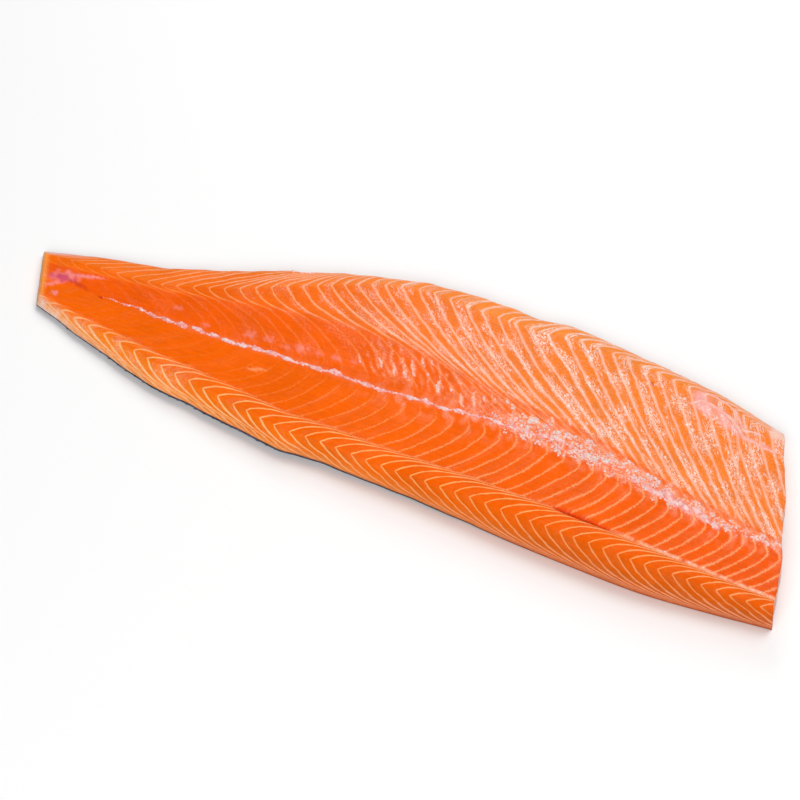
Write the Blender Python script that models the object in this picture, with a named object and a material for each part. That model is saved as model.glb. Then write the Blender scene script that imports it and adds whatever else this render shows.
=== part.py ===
"""A raw salmon side: one long fillet lying on its skin, flesh up.

+X runs from the tail cut to the head cut, +Y from the back to the belly, +Z up. The origin is on the
surface that the fillet lies on, under the middle of its outline. Lengths are in metres.
"""
import bmesh
import bpy
import numpy as np

MM = 0.001

# Driving dimensions
TAIL_X = -0.3045            # foot of the tail cut at its belly corner
HEAD_X = 0.2665             # foot of the head cut at its belly corner
TAIL_LEAN = 0.43            # how far the tail cut runs forward for each metre towards the back
HEAD_LEAN = 0.038           # how much longer the fillet is at its back corner than at its belly corner
HEAD_BULGE = 0.0036         # how far the middle of the head cut stands proud of a straight cut
TAIL_SLOPE = 0.45           # slope of the tail cut: how far its top edge lies in from its foot, per height
HEAD_SLOPE = 0.12           # the same for the head cut
SKIN_THICKNESS = 0.8 * MM
SKIN_GAP = 0.3 * MM         # parting gap between the skin and the flesh
SKIN_ARC = 6.0 * MM         # width over which the skin turns up at each long edge
WALL_FOOT = 0.5 * MM        # upright strip of flesh just above the skin's edge
SLIT_MIDDLE = 0.755         # place of the knife slit in the crease, as a share of the length
SLIT_REACH = 0.040          # half its length, as a share of the length
SLIT_WIDTH = 2.4 * MM
SLIT_DEPTH = 5.0 * MM

STATION_STEPS = 52          # sections along the fillet
FLAT_STEPS = 4              # steps across the flat middle of the skin
ARC_STEPS = 4               # steps round each turned-up edge of the skin

# Sideways places in mm, tail first: each list is spread evenly from the tail cut to the head cut
BELLY_EDGE = (8, 19.5, 28, 42, 59, 74.5, 87, 94, 94, 95, 88.5, 81, 66)
BACKBONE = (-16.5, -19, -21.5, -21, -21, -17, -16.5, -29.5, -35)
BACK_EDGE = (-40, -57.5, -72.5, -79.5, -85.5, -85.5, -86, -88, -91.5, -93.5, -94.5, -91, -86)

# Lines on the flesh: share of the way from the backbone line to the edge
BELLY_TURN = (0.80, 0.61, 0.69, 0.81, 0.90, 0.84, 0.865, 0.89, 0.90)    # start of the fall to the belly edge
BELLY_SEAM = (0.50, 0.48, 0.51, 0.48, 0.42, 0.25, 0.15, 0.09, 0.05)     # belly flap meets the middle band
CREASE = (0.66, 0.56, 0.57, 0.65, 0.69, 0.68, 0.68, 0.70, 0.80)         # shallow crease: band meets loin
LOIN_CREST = (0.75, 0.65, 0.68, 0.76, 0.81, 0.78, 0.77, 0.79, 0.88)     # highest line of the loin
BACK_TURN = (0.84, 0.70, 0.79, 0.87, 0.93, 0.90, 0.89, 0.89, 0.96)      # start of the fall to the back edge

# Thickness in mm at nine sections, and the heights of the lines as shares of it
THICKNESS = (10, 13.5, 17.5, 21.5, 24.5, 26.5, 28, 28, 24)
BELLY_EDGE_RISE = (0.58, 0.54, 0.45, 0.37, 0.36)
BELLY_TURN_RISE = (0.84, 0.76, 0.63, 0.57, 0.55)
BELLY_SEAM_RISE = (0.99, 0.98, 0.93, 0.91, 0.91)
BACKBONE_RISE = (0.97, 0.96, 0.95, 0.94, 0.94)
CREASE_RISE = (0.99, 0.98, 0.97, 0.97, 0.97)
BACK_TURN_RISE = (0.90, 0.93, 0.94, 0.95, 0.92)
RIM_RISE = (0.62, 0.68, 0.71, 0.73, 0.66)       # shoulder between the top and the cut along the back
RIM_INSET = (1.5, 1.0, 0.0, 0.5, 0.5)           # how far the shoulder lies in from the edge, in mm
WALL_BULGE = (0.0, 0.4, 1.2, 1.2, 0.6)          # how far the cut along the back bellies out, in mm

# How high the skin shows at each long edge, in mm at nine sections
SKIN_RISE_BELLY = (3.2, 3.0, 3.0, 3.0, 3.0, 3.0, 3.0, 2.8, 2.6)
SKIN_RISE_BACK = (3.4, 4.0, 4.8, 4.6, 2.8, 2.2, 1.9, 1.8, 1.8)

# Steps across the top of the flesh, from one line to the next
TOP_STEPS = (1, 1, 3, 4, 3, 3, 1, 1, 2, 2, 2, 2, 1, 1)


def along(values, share):
    """Read evenly spaced values at a share of the length, on a smooth curve through all of them."""
    values = np.asarray(values, float)
    place = np.clip(share, 0.0, 1.0) * (len(values) - 1)
    left = np.minimum(place.astype(int), len(values) - 2)
    t = place - left
    padded = np.concatenate(([2 * values[0] - values[1]], values, [2 * values[-1] - values[-2]]))
    a, b, c, d = (padded[left + k] for k in range(4))
    return b + 0.5 * t * (c - a + t * (2 * a - 5 * b + 4 * c - d + t * (3 * (b - c) + d - a)))


def through(points, steps):
    """Carry a smooth curve through (y, z) points, with the given number of steps between each two."""
    points = np.asarray(points, float)
    gaps = np.linalg.norm(np.diff(points, axis=0), axis=1)
    slopes = np.empty_like(points)
    slopes[1:-1] = (points[2:] - points[:-2]) / (gaps[1:] + gaps[:-1])[:, None]
    slopes[0] = (points[1] - points[0]) / gaps[0]
    slopes[-1] = (points[-1] - points[-2]) / gaps[-1]
    curve = [points[0]]
    for k, count in enumerate(steps):
        for step in range(1, count + 1):
            t = step / count
            start = (1 + 2 * t) * (1 - t) ** 2 * points[k] + t * (1 - t) ** 2 * gaps[k] * slopes[k]
            end = (3 - 2 * t) * t * t * points[k + 1] - (1 - t) * t * t * gaps[k] * slopes[k + 1]
            curve.append(start + end)
    return np.array(curve)


def skin_line(share, depth, arc_steps, flat_steps):
    """Section line that lies the given depth inside the skin's outer face, belly edge to back edge."""
    belly, back = along(BELLY_EDGE, share) * MM, along(BACK_EDGE, share) * MM
    belly_rise, back_rise = along(SKIN_RISE_BELLY, share) * MM, along(SKIN_RISE_BACK, share) * MM
    turn = np.linspace(0.0, np.pi / 2, arc_steps + 1)
    belly_arc = np.stack([belly - SKIN_ARC + (SKIN_ARC - depth) * np.cos(turn),
                          belly_rise - (belly_rise - depth) * np.sin(turn)], axis=1)
    back_arc = np.stack([back + SKIN_ARC - (SKIN_ARC - depth) * np.cos(turn),
                         back_rise - (back_rise - depth) * np.sin(turn)], axis=1)[::-1]
    flat = np.linspace(belly_arc[-1], back_arc[0], flat_steps + 1)[1:-1]
    return np.concatenate([belly_arc, flat, back_arc])


def slit(share):
    """How open the knife slit is at a section, from 0 to 1: blunt towards the tail, long towards the head."""
    place = (share - SLIT_MIDDLE) / SLIT_REACH
    return np.clip(1.0 - place * place, 0.0, 1.0) ** 0.5 * np.clip(0.75 - 0.35 * place, 0.0, 1.0)


def flesh_line(share):
    """Section line over the flesh, from the skin's belly edge over the top to the skin's back edge."""
    belly, bone, back = (along(line, share) * MM for line in (BELLY_EDGE, BACKBONE, BACK_EDGE))
    thick = along(THICKNESS, share) * MM
    inset = SKIN_THICKNESS + SKIN_GAP
    belly_foot = along(SKIN_RISE_BELLY, share) * MM
    back_foot = along(SKIN_RISE_BACK, share) * MM
    belly_rise = along(BELLY_EDGE_RISE, share) * thick
    rim_rise = along(RIM_RISE, share) * thick
    crease = np.array([bone + along(CREASE, share) * (back - bone), along(CREASE_RISE, share) * thick])
    opening = slit(share)
    points = [
        (belly - inset, belly_foot + WALL_FOOT),
        (belly - 0.3 * inset, 0.5 * (belly_foot + belly_rise)),
        (belly - 1.6 * inset, belly_rise),
        (bone + along(BELLY_TURN, share) * (belly - bone), along(BELLY_TURN_RISE, share) * thick),
        (bone + along(BELLY_SEAM, share) * (belly - bone), along(BELLY_SEAM_RISE, share) * thick),
        (bone, along(BACKBONE_RISE, share) * thick),
        crease + (1.0 * MM + 0.5 * opening * SLIT_WIDTH, 0.0),
        crease + (0.3 * opening * SLIT_WIDTH, -0.4 * MM - opening * SLIT_DEPTH),
        crease - (1.0 * MM + 0.5 * opening * SLIT_WIDTH, 0.0),
        (bone + along(LOIN_CREST, share) * (back - bone), thick),
        (bone + along(BACK_TURN, share) * (back - bone), along(BACK_TURN_RISE, share) * thick),
        (back + along(RIM_INSET, share) * MM, rim_rise),
        (back - along(WALL_BULGE, share) * MM, 0.5 * (back_foot + rim_rise)),
        (back + 0.3 * inset, 0.8 * (back_foot + WALL_FOOT) + 0.2 * rim_rise),
        (back + inset, back_foot + WALL_FOOT),
    ]
    return through(points, TOP_STEPS)


def place_section(share, line):
    """Stand a (y, z) section line on its slanting station between the tail cut and the head cut."""
    y, z = line[:, 0], line[:, 1]
    tail = TAIL_X + TAIL_LEAN * (BELLY_EDGE[0] * MM - y) + TAIL_SLOPE * z
    width = (BELLY_EDGE[-1] - BACK_EDGE[-1]) * MM
    down = (BELLY_EDGE[-1] * MM - y) / width
    head = HEAD_X + HEAD_LEAN * down + 4 * HEAD_BULGE * down * (1 - down) - HEAD_SLOPE * z
    return np.stack([tail + share * (head - tail), y, z], axis=1)


def loft(name, under, over):
    """Close a body between two grids of points, one section to a row, with the same number of columns."""
    rows, columns = len(under), len(under[0])
    mesh = bmesh.new()
    low = [[mesh.verts.new(point) for point in row] for row in under]
    high = [[mesh.verts.new(point) for point in row] for row in over]
    for i in range(rows - 1):
        for j in range(columns - 1):
            mesh.faces.new((high[i][j], high[i][j + 1], high[i + 1][j + 1], high[i + 1][j]))
            mesh.faces.new((low[i][j], low[i + 1][j], low[i + 1][j + 1], low[i][j + 1]))
        for j in (0, columns - 1):
            mesh.faces.new((low[i][j], high[i][j], high[i + 1][j], low[i + 1][j]))
    for i in (0, rows - 1):
        for j in range(columns - 1):
            mesh.faces.new((low[i][j], low[i][j + 1], high[i][j + 1], high[i][j]))
    bmesh.ops.recalc_face_normals(mesh, faces=mesh.faces[:])
    data = bpy.data.meshes.new(name)
    mesh.to_mesh(data)
    mesh.free()
    data.shade_smooth()
    data.set_sharp_from_angle(angle=np.radians(50))
    return bpy.data.objects.new(name, data)


def finish(name, colour, roughness, coat):
    """Make a wet Principled finish."""
    material = bpy.data.materials.new(name)
    material.use_nodes = True
    shader = material.node_tree.nodes["Principled BSDF"]
    shader.inputs["Base Color"].default_value = (*colour, 1.0)
    shader.inputs["Roughness"].default_value = roughness
    shader.inputs["Metallic"].default_value = 0.0
    shader.inputs["Coat Weight"].default_value = coat
    return material


def make_flesh(shares):
    """The whole muscle of the side, from cut to cut, down to the skin."""
    over = [place_section(share, flesh_line(share)) for share in shares]
    columns = len(over[0])
    flat_steps = columns - 1 - 2 * ARC_STEPS
    depth = SKIN_THICKNESS + SKIN_GAP
    under = [place_section(share, skin_line(share, depth, ARC_STEPS, flat_steps)) for share in shares]
    return loft("flesh", under, over)


def make_skin(shares):
    """The skin that the flesh lies on, turned up along both long edges."""
    outer = [place_section(share, skin_line(share, 0.0, ARC_STEPS, FLAT_STEPS)) for share in shares]
    inner = [place_section(share, skin_line(share, SKIN_THICKNESS, ARC_STEPS, FLAT_STEPS)) for share in shares]
    return loft("skin", outer, inner)


def centre(parts):
    """Move the meshes so that the middle of the whole outline is over the origin."""
    places = np.array([vertex.co for part in parts for vertex in part.data.vertices])
    middle = (places.min(axis=0) + places.max(axis=0)) / 2
    for part in parts:
        for vertex in part.data.vertices:
            vertex.co.x -= middle[0]
            vertex.co.y -= middle[1]


def main():
    for leftover in list(bpy.data.objects):
        bpy.data.objects.remove(leftover, do_unlink=True)
    shares = np.linspace(0.0, 1.0, STATION_STEPS + 1)
    flesh = make_flesh(shares)
    skin = make_skin(shares)
    centre([flesh, skin])
    flesh.data.materials.append(finish("flesh", (0.83, 0.17, 0.02), 0.30, 0.4))
    skin.data.materials.append(finish("skin", (0.10, 0.12, 0.15), 0.35, 0.3))
    fillet = bpy.data.collections.new("salmon_fillet")
    bpy.context.scene.collection.children.link(fillet)
    for part in (flesh, skin):
        fillet.objects.link(part)


main()
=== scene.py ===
# %% [markdown]
# # A raw salmon side, flesh up
#
# One fillet is a whole half of the fish, cut off along the backbone. It lies on its skin. The muscle
# is a row of thin flakes, one inside the next, and the pale fat between two flakes shows as a line.
# The lesson builds the muscle from section lines, marks each point with the number of the flake that
# it belongs to, and lets one material draw every fat line from that number. The skin, the beads along
# the backbone and the loose white curd near the head are pieces of their own.

import bmesh
import bpy
import numpy as np
from mathutils import Matrix, Vector
from mathutils.bvhtree import BVHTree


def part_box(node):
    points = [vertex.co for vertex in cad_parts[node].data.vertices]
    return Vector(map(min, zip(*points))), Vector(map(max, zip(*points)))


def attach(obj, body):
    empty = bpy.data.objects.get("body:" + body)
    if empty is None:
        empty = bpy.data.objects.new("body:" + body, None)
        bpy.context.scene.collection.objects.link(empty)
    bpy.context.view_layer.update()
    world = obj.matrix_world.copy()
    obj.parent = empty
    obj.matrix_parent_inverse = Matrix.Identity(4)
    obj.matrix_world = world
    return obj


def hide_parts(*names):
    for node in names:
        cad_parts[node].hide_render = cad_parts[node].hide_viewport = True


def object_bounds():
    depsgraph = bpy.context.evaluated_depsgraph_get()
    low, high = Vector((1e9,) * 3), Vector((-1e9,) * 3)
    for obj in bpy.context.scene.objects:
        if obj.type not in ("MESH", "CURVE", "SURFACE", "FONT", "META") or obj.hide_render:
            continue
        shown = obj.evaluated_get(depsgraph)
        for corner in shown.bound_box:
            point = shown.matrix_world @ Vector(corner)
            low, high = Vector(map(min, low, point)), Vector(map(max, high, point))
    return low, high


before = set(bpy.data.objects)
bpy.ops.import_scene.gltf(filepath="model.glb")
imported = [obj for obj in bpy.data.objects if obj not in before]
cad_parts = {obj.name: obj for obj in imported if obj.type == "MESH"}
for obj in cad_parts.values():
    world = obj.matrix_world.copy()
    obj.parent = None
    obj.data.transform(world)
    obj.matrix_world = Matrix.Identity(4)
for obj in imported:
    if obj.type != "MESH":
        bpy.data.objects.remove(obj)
cad_low, cad_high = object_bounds()
cad_length, cad_width, cad_height = cad_high - cad_low
MM = 0.001
print("CAD box, mm:", [round(side / MM, 1) for side in (cad_length, cad_width, cad_height)])

# %% [markdown]
# ## Guide lines
#
# A fillet has no straight edge to measure from, so its shape is given by lines that run from the tail
# cut to the head cut. Each list below holds places in mm at even shares of the length, and a smooth
# curve goes through them. Lines on the flesh are given as a share of the way from the backbone line to
# an edge, so that they widen and narrow with the fillet. They follow the solid model's lines,
# except for the skin along the back, which stops a little lower near the head.

# %% Places and heights of the guide lines
BELLY_EDGE = (8, 19.5, 28, 42, 59, 74.5, 87, 94, 94, 95, 88.5, 81, 66)
BACKBONE = (-16.5, -19, -21.5, -21, -21, -17, -16.5, -29.5, -35)
BACK_EDGE = (-40, -57.5, -72.5, -79.5, -85.5, -85.5, -86, -88, -91.5, -93.5, -94.5, -91, -86)
BELLY_TIP = (0.80, 0.61, 0.69, 0.81, 0.90, 0.84, 0.865, 0.89, 0.90)
BELLY_SEAM = (0.50, 0.48, 0.51, 0.48, 0.42, 0.25, 0.15, 0.09, 0.05)
CREASE = (0.66, 0.56, 0.57, 0.65, 0.69, 0.68, 0.68, 0.70, 0.80)
LOIN_CREST = (0.75, 0.65, 0.68, 0.76, 0.81, 0.78, 0.77, 0.79, 0.88)
LOIN_TIP = (0.84, 0.70, 0.79, 0.87, 0.93, 0.90, 0.89, 0.89, 0.96)
THICKNESS = (10, 13.5, 17.5, 21.5, 24.5, 26.5, 28, 28, 24)
BELLY_EDGE_RISE = (0.58, 0.54, 0.45, 0.37, 0.36)
BELLY_TIP_RISE = (0.84, 0.76, 0.63, 0.57, 0.55)
BELLY_SEAM_RISE = (0.99, 0.98, 0.93, 0.91, 0.91)
BACKBONE_RISE = (0.97, 0.96, 0.95, 0.94, 0.94)
CREASE_RISE = (0.99, 0.98, 0.97, 0.97, 0.97)
LOIN_TIP_RISE = (0.90, 0.93, 0.94, 0.95, 0.92)
RIM_RISE = (0.62, 0.68, 0.71, 0.73, 0.66)
RIM_INSET = (1.5, 1.0, 0.0, 0.5, 0.5)
WALL_BULGE = (0.0, 0.4, 1.2, 1.2, 0.6)
SKIN_RISE_BELLY = (3.2, 3.0, 3.0, 3.0, 3.0, 3.0, 3.0, 2.8, 2.6)
SKIN_RISE_BACK = (3.6, 5.0, 5.8, 5.2, 3.0, 1.6, 0.9, 0.7, 0.7)
SKIN_ARC, SKIN_THICKNESS, SKIN_GAP, WALL_FOOT = 6.0, 0.8, 0.3, 0.5
SLIT_MIDDLE, SLIT_REACH, SLIT_WIDTH, SLIT_DEPTH = 0.755, 0.040, 3.2, 5.0


def along(values, share):
    """Read evenly spaced values at shares of the length, on a smooth curve through all of them."""
    values = np.asarray(values, float)
    place = np.clip(share, 0.0, 1.0) * (len(values) - 1)
    left = np.minimum(place.astype(int), len(values) - 2)
    t = place - left
    padded = np.concatenate(([2 * values[0] - values[1]], values, [2 * values[-1] - values[-2]]))
    a, b, c, d = (padded[left + k] for k in range(4))
    return b + 0.5 * t * (c - a + t * (2 * a - 5 * b + 4 * c - d + t * (3 * (b - c) + d - a)))


# %% [markdown]
# ## Sections
#
# A loft is the natural way to make a long soft body: a stack of section lines, one behind the other.
# Here each section crosses the fillet from the belly edge, over the top, to the back edge. The columns
# of the grid lie on the guide lines, because the fat lines bend sharply there, and a bend is only
# crisp where the mesh has an edge.

# %% Section lines from belly edge to back edge
ROWS = 541
shares = np.linspace(0.0, 1.0, ROWS)
STRIPS = (("belly wall", 2), ("belly wall", 4), ("belly rim", 11), ("flap", 35), ("upper band", 25),
          ("lower band", 28), ("crease", 3), ("crease", 3), ("loin", 5), ("loin", 7), ("shoulder", 7),
          ("back wall", 5), ("back wall", 4), ("back wall", 1))
BELLY_RIM_AT, BELLY_TIP_AT, SEAM_AT, BONE_AT = 6, 17, 52, 77
CREASE_AT, LOIN_TIP_AT, BACK_RIM_AT, FOOT_AT = 108, 123, 130, 140


def bump_at(share, middle, reach):
    """A smooth rise from 0 to 1 and back, round one share of the length."""
    return np.exp(-((share - middle) / reach) ** 2)


def knife_wave(share):
    """A long cut is never perfectly fair: the knife wanders by a few tenths of a millimetre."""
    wave = 0.35 * np.sin(61 * share + 0.6) + 0.25 * np.sin(97 * share) + 0.2 * np.sin(163 * share + 2)
    return wave * np.sqrt(np.sin(np.pi * np.clip(share, 0.0, 1.0)))


def belly_edge(share):
    """The flap's free edge, with a shallow nick near the head."""
    return along(BELLY_EDGE, share) + knife_wave(share) - 1.6 * bump_at(share, 0.688, 0.018)


def back_edge(share):
    """The edge along the back, with a small heel where the knife went round the back fin."""
    return along(BACK_EDGE, share) + knife_wave(share + 0.31) * 0.8 - 1.9 * bump_at(share, 0.354, 0.022)


def slit(share):
    """How open the knife slit is: blunt towards the tail, running out towards the head."""
    place = (share - SLIT_MIDDLE) / SLIT_REACH
    return np.clip(1.0 - place * place, 0.0, 1.0) ** 0.5 * np.clip(0.75 - 0.35 * place, 0.0, 1.0)


def through(points, steps):
    """Carry a smooth curve through the (y, z) points of each section, in steps between each two."""
    gaps = np.linalg.norm(np.diff(points, axis=1), axis=-1)[..., None]
    slopes = np.empty_like(points)
    slopes[:, 1:-1] = (points[:, 2:] - points[:, :-2]) / (gaps[:, 1:] + gaps[:, :-1])
    slopes[:, 0] = (points[:, 1] - points[:, 0]) / gaps[:, 0]
    slopes[:, -1] = (points[:, -1] - points[:, -2]) / gaps[:, -1]
    curve = [points[:, :1]]
    for k, count in enumerate(steps):
        t = (np.arange(1, count + 1) / count)[None, :, None]
        here, there, gap = points[:, k:k + 1], points[:, k + 1:k + 2], gaps[:, k:k + 1]
        start = (1 + 2 * t) * (1 - t) ** 2 * here + t * (1 - t) ** 2 * gap * slopes[:, k:k + 1]
        end = (3 - 2 * t) * t * t * there - (1 - t) * t * t * gap * slopes[:, k + 1:k + 2]
        curve.append(start + end)
    return np.concatenate(curve, axis=1)


def flesh_section(share):
    """Section lines over the flesh, from the skin's belly edge over the top to the skin's back edge."""
    belly = belly_edge(share)
    bone, back = along(BACKBONE, share), back_edge(share)
    thick = along(THICKNESS, share)
    inset = SKIN_THICKNESS + SKIN_GAP
    belly_foot, back_foot = along(SKIN_RISE_BELLY, share), along(SKIN_RISE_BACK, share)
    belly_rise, rim_rise = along(BELLY_EDGE_RISE, share) * thick, along(RIM_RISE, share) * thick
    crease_y = bone + along(CREASE, share) * (back - bone)
    crease_z = along(CREASE_RISE, share) * thick
    opening = slit(share)
    points = [
        (belly - inset, belly_foot + WALL_FOOT),
        (belly - 0.3 * inset, 0.5 * (belly_foot + belly_rise)),
        (belly - 1.6 * inset, belly_rise),
        (bone + along(BELLY_TIP, share) * (belly - bone), along(BELLY_TIP_RISE, share) * thick),
        (bone + along(BELLY_SEAM, share) * (belly - bone), along(BELLY_SEAM_RISE, share) * thick),
        (bone, along(BACKBONE_RISE, share) * thick),
        (crease_y + 1.0 + 0.5 * opening * SLIT_WIDTH, crease_z),
        (crease_y + 0.3 * opening * SLIT_WIDTH, crease_z - 0.4 - opening * SLIT_DEPTH),
        (crease_y - 1.0 - 0.5 * opening * SLIT_WIDTH, crease_z),
        (bone + along(LOIN_CREST, share) * (back - bone), thick),
        (bone + along(LOIN_TIP, share) * (back - bone), along(LOIN_TIP_RISE, share) * thick),
        (back + along(RIM_INSET, share), rim_rise),
        (back - along(WALL_BULGE, share), 0.5 * (back_foot + rim_rise)),
        (back + 0.3 * inset, 0.8 * (back_foot + WALL_FOOT) + 0.2 * rim_rise),
        (back + inset, back_foot + WALL_FOOT),
    ]
    return through(np.stack([np.stack(point, axis=-1) for point in points], axis=1),
                   [count for _, count in STRIPS])


over = flesh_section(shares)
print("section grid:", over.shape, "tallest, mm:", round(float(over[..., 1].max()), 2))

# %% [markdown]
# ## The ends
#
# Both ends are knife cuts. The tail cut slants across the fillet and slopes a lot, because a long
# knife is laid nearly flat there. The head cut is steep and slightly rounded. Standing each section on
# its own slanted plane gives both ends their true faces without any cutting tool.

# %% Stand the sections between the two cuts
TAIL_X, HEAD_X = -304.5, 266.5
TAIL_LEAN, HEAD_LEAN, HEAD_BULGE = 0.43, 38.0, 3.6
TAIL_SLOPE, HEAD_SLOPE = 0.45, 0.12


def stand(share, line):
    """Turn (y, z) sections into (x, y, z) points, each on its own plane between the cuts."""
    y, z = line[..., 0], line[..., 1]
    tail = TAIL_X + TAIL_LEAN * (BELLY_EDGE[0] - y) + TAIL_SLOPE * z
    down = (BELLY_EDGE[-1] - y) / (BELLY_EDGE[-1] - BACK_EDGE[-1])
    head = HEAD_X + HEAD_LEAN * down + 4 * HEAD_BULGE * down * (1 - down) - HEAD_SLOPE * z
    head = head + 0.7 * np.sin(y / 9.0 + 0.5) + 0.4 * np.sin(y / 3.9)
    return np.stack([tail + share * (head - tail), y, z], axis=-1)


top = stand(shares[:, None], over)
print("flesh runs from x", round(float(top[..., 0].min()), 1), "to", round(float(top[..., 0].max()), 1))

# %% [markdown]
# ## Flake numbers
#
# Each flake of muscle is a W-shaped sheet. On the surface its border starts at a tip on the loin, runs
# headwards and up to the backbone, comes back along the belly flap and turns again at the belly tip.
# An arm leaves its tip steeply and bends until it runs almost along the fish, which is how a logarithm
# grows. How far it reaches depends on where its tip is. So the tip of each point is found by trying:
# guess it, work out the arm from there, correct the guess, and repeat until it stands still.

# %% Reach and bend of the fat lines by the place of their tip, in mm, and the flake numbers
TIP_AT = (-300, -240, -193, -170, -145, -120, -90, -60, -30, 0, 30, 90, 120, 150, 180, 210, 300)
FLAP_REACH = (14, 15, 17, 18, 21, 28, 52, 76, 82, 84, 86, 85, 82, 79, 71, 63, 40)
RIM_REACH = (30, 34, 42, 72, 52, 35, 17, 8, 9, 12, 14, 20, 22, 24, 25, 26, 26)
BEND_AT, BEND = (-90, -46, -10, 30, 60, 100, 150, 214), (0.85, 0.84, 0.76, 0.67, 0.60, 0.55, 0.50, 0.42)
BAND_REACH = (20, 30, 42, 48, 46, 40, 34, 24, 16)
BELLY_COUNT = ((-700, -264.3, -212.3, -145, -101.9, -46, -8.9, 107.9, 400), (-47, -10, -6, 0, 4, 10, 13, 22, 46.3))
LOIN_COUNT = ((-700, -247, -192, -103.1, -6, 106.8, 150.5, 192, 241, 400), (-46, -11, -7, 0, 8, 18, 22, 26, 31, 46.5))
PAST_SEAM = 0.08


def share_between(value, start, end):
    """How far a value lies on the way from start to end, kept between 0 and 1."""
    return np.clip((value - start) / np.where(np.abs(end - start) < 0.1, 0.1, end - start), 0.0, 1.0)


def smooth(value, start, end):
    """0 before start, 1 after end, and a smooth rise between."""
    t = np.clip((value - start) / (end - start), 0.0, 1.0)
    return t * t * (3 - 2 * t)


def settle(x, offset):
    """The tip place whose arm passes through each x, found by repeated correction."""
    tip_x = x.copy()
    for _ in range(60):
        tip_x = 0.5 * tip_x + 0.5 * (x - offset(tip_x))
    return tip_x


def belly_flakes(points, grid_share):
    """Flake number on the belly side, from the edge to the backbone."""
    x, y = points[..., 0], points[..., 1]
    rim, tip, seam, bone = (y[:, at:at + 1] for at in (BELLY_RIM_AT, BELLY_TIP_AT, SEAM_AT, BONE_AT))
    down = np.clip((tip - y) / (tip - seam), 0.0, 1.0 + PAST_SEAM)
    up = share_between(y, tip, rim) ** 1.6
    seam_side = share_between(y, seam - PAST_SEAM * (tip - seam), bone)
    band = along(BAND_REACH, grid_share) * (1 - (1 - seam_side) ** 1.7)

    def arms(tip_x):
        bend = np.interp(tip_x, BEND_AT, BEND)
        flap = np.interp(tip_x, TIP_AT, FLAP_REACH) * np.log(1 - bend * down) / np.log(1 - bend)
        return flap + np.interp(tip_x, TIP_AT, RIM_REACH) * up

    return 0.5 + np.interp(settle(x - band, arms), *BELLY_COUNT)


def loin_flakes(points, grid_share):
    """Flake number on the back side, from the backbone to the foot of the cut."""
    x, y = points[..., 0], points[..., 1]
    bone, crease, tip, rim = (y[:, at:at + 1] for at in (BONE_AT, CREASE_AT, LOIN_TIP_AT, BACK_RIM_AT))
    reach = 17 * np.clip((crease - tip) / 16, 0.02, 1.3) ** 0.6
    upper = -reach * np.log(1 - 0.96 * share_between(y, tip, crease))
    to_bone = share_between(y, crease, bone)
    band = 28 * (1 - (1 - to_bone) ** 1.8) - 9 * smooth(to_bone, 0.70, 1.05) * smooth(grid_share, 0.4, 0.6)
    tailward = 1 - smooth(grid_share, 0.25, 0.5)
    lower = -(10.0 + 3.0 * tailward) * np.log(1 - (0.75 + 0.23 * tailward) * share_between(y, tip, rim))
    lower[:, BACK_RIM_AT:] = lower[:, BACK_RIM_AT:BACK_RIM_AT + 1]
    wall = np.linalg.norm(np.diff(points[:, BACK_RIM_AT:], axis=1), axis=-1).cumsum(axis=1)
    lower[:, BACK_RIM_AT + 1:] += ((1.0 + 0.12 * wall) * (1 - tailward) + 3.5 * tailward) * wall
    return 0.5 + np.interp(x - upper - band - lower, *LOIN_COUNT)


def flake_gap(number, points):
    """Distance in mm from one fat line to the next, square to the lines, at each point of a grid."""
    rows, columns = np.gradient(points, axis=0), np.gradient(points, axis=1)
    up, across = np.gradient(number, axis=0), np.gradient(number, axis=1)
    rr, rc, cc = (rows * rows).sum(-1), (rows * columns).sum(-1), (columns * columns).sum(-1)
    slope = (cc * up * up - 2 * rc * up * across + rr * across * across) / np.maximum(rr * cc - rc * rc, 1e-9)
    return 1.0 / np.sqrt(np.maximum(slope, 1e-6))


belly_part, loin_part = top[:, :BONE_AT + 1], top[:, BONE_AT:]
numbers = [belly_flakes(top, shares[:, None])[:, :BONE_AT + 1], loin_flakes(top, shares[:, None])[:, BONE_AT:]]
gaps = [flake_gap(number, part) for number, part in zip(numbers, (belly_part, loin_part))]
flake = np.concatenate([numbers[0], numbers[1][:, 1:]], axis=1)
flake_pitch = np.concatenate([gaps[0], gaps[1][:, 1:]], axis=1)
print("flakes on the loin:", int(numbers[1].max() - numbers[1].min()),
      "| closest fat lines, mm:", round(float(flake_pitch.min()), 2))

# %% [markdown]
# ## Colours of the muscle
#
# Salmon muscle isn't one orange. The flap is pale and pinkish, the band along the backbone is a deep
# red-orange, and the loin is a clear orange. Its steep back side is painted browner and darker towards
# the head: partly its own tone, partly painted shade. Each strip gets a row of five colours from tail
# to head, once for the muscle and once for the fat, and a short blur across the strips melts one into
# the next, as in real flesh.

# %% Strip colours from tail to head
MEAT = {
    "belly wall": ((236, 132, 76), (242, 142, 90), (246, 160, 116), (246, 166, 124), (242, 154, 110)),
    "belly rim": ((250, 118, 24), (250, 114, 22), (249, 132, 40), (247, 136, 36), (244, 130, 18)),
    "flap": ((250, 108, 4), (250, 102, 2), (249, 114, 10), (248, 125, 12), (246, 122, 10)),
    "upper band": ((242, 90, 2), (244, 93, 2), (247, 97, 3), (246, 99, 5), (244, 102, 10)),
    "lower band": ((245, 101, 2), (245, 99, 2), (248, 99, 2), (246, 95, 2), (242, 88, 2)),
    "crease": ((248, 104, 8), (247, 99, 6), (243, 98, 12), (238, 92, 11), (234, 90, 11)),
    "loin": ((252, 122, 8), (251, 106, 2), (248, 98, 1), (244, 97, 1), (238, 96, 2)),
    # Shoulder and back wall grow darker towards the head: partly their own browner tone, partly painted shade of the
    # steep side.
    "shoulder": ((252, 140, 24), (251, 120, 8), (242, 103, 3), (230, 97, 3), (223, 93, 3)),
    "back wall": ((236, 160, 110), (248, 146, 70), (234, 120, 38), (214, 98, 24), (206, 92, 26)),
}
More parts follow.
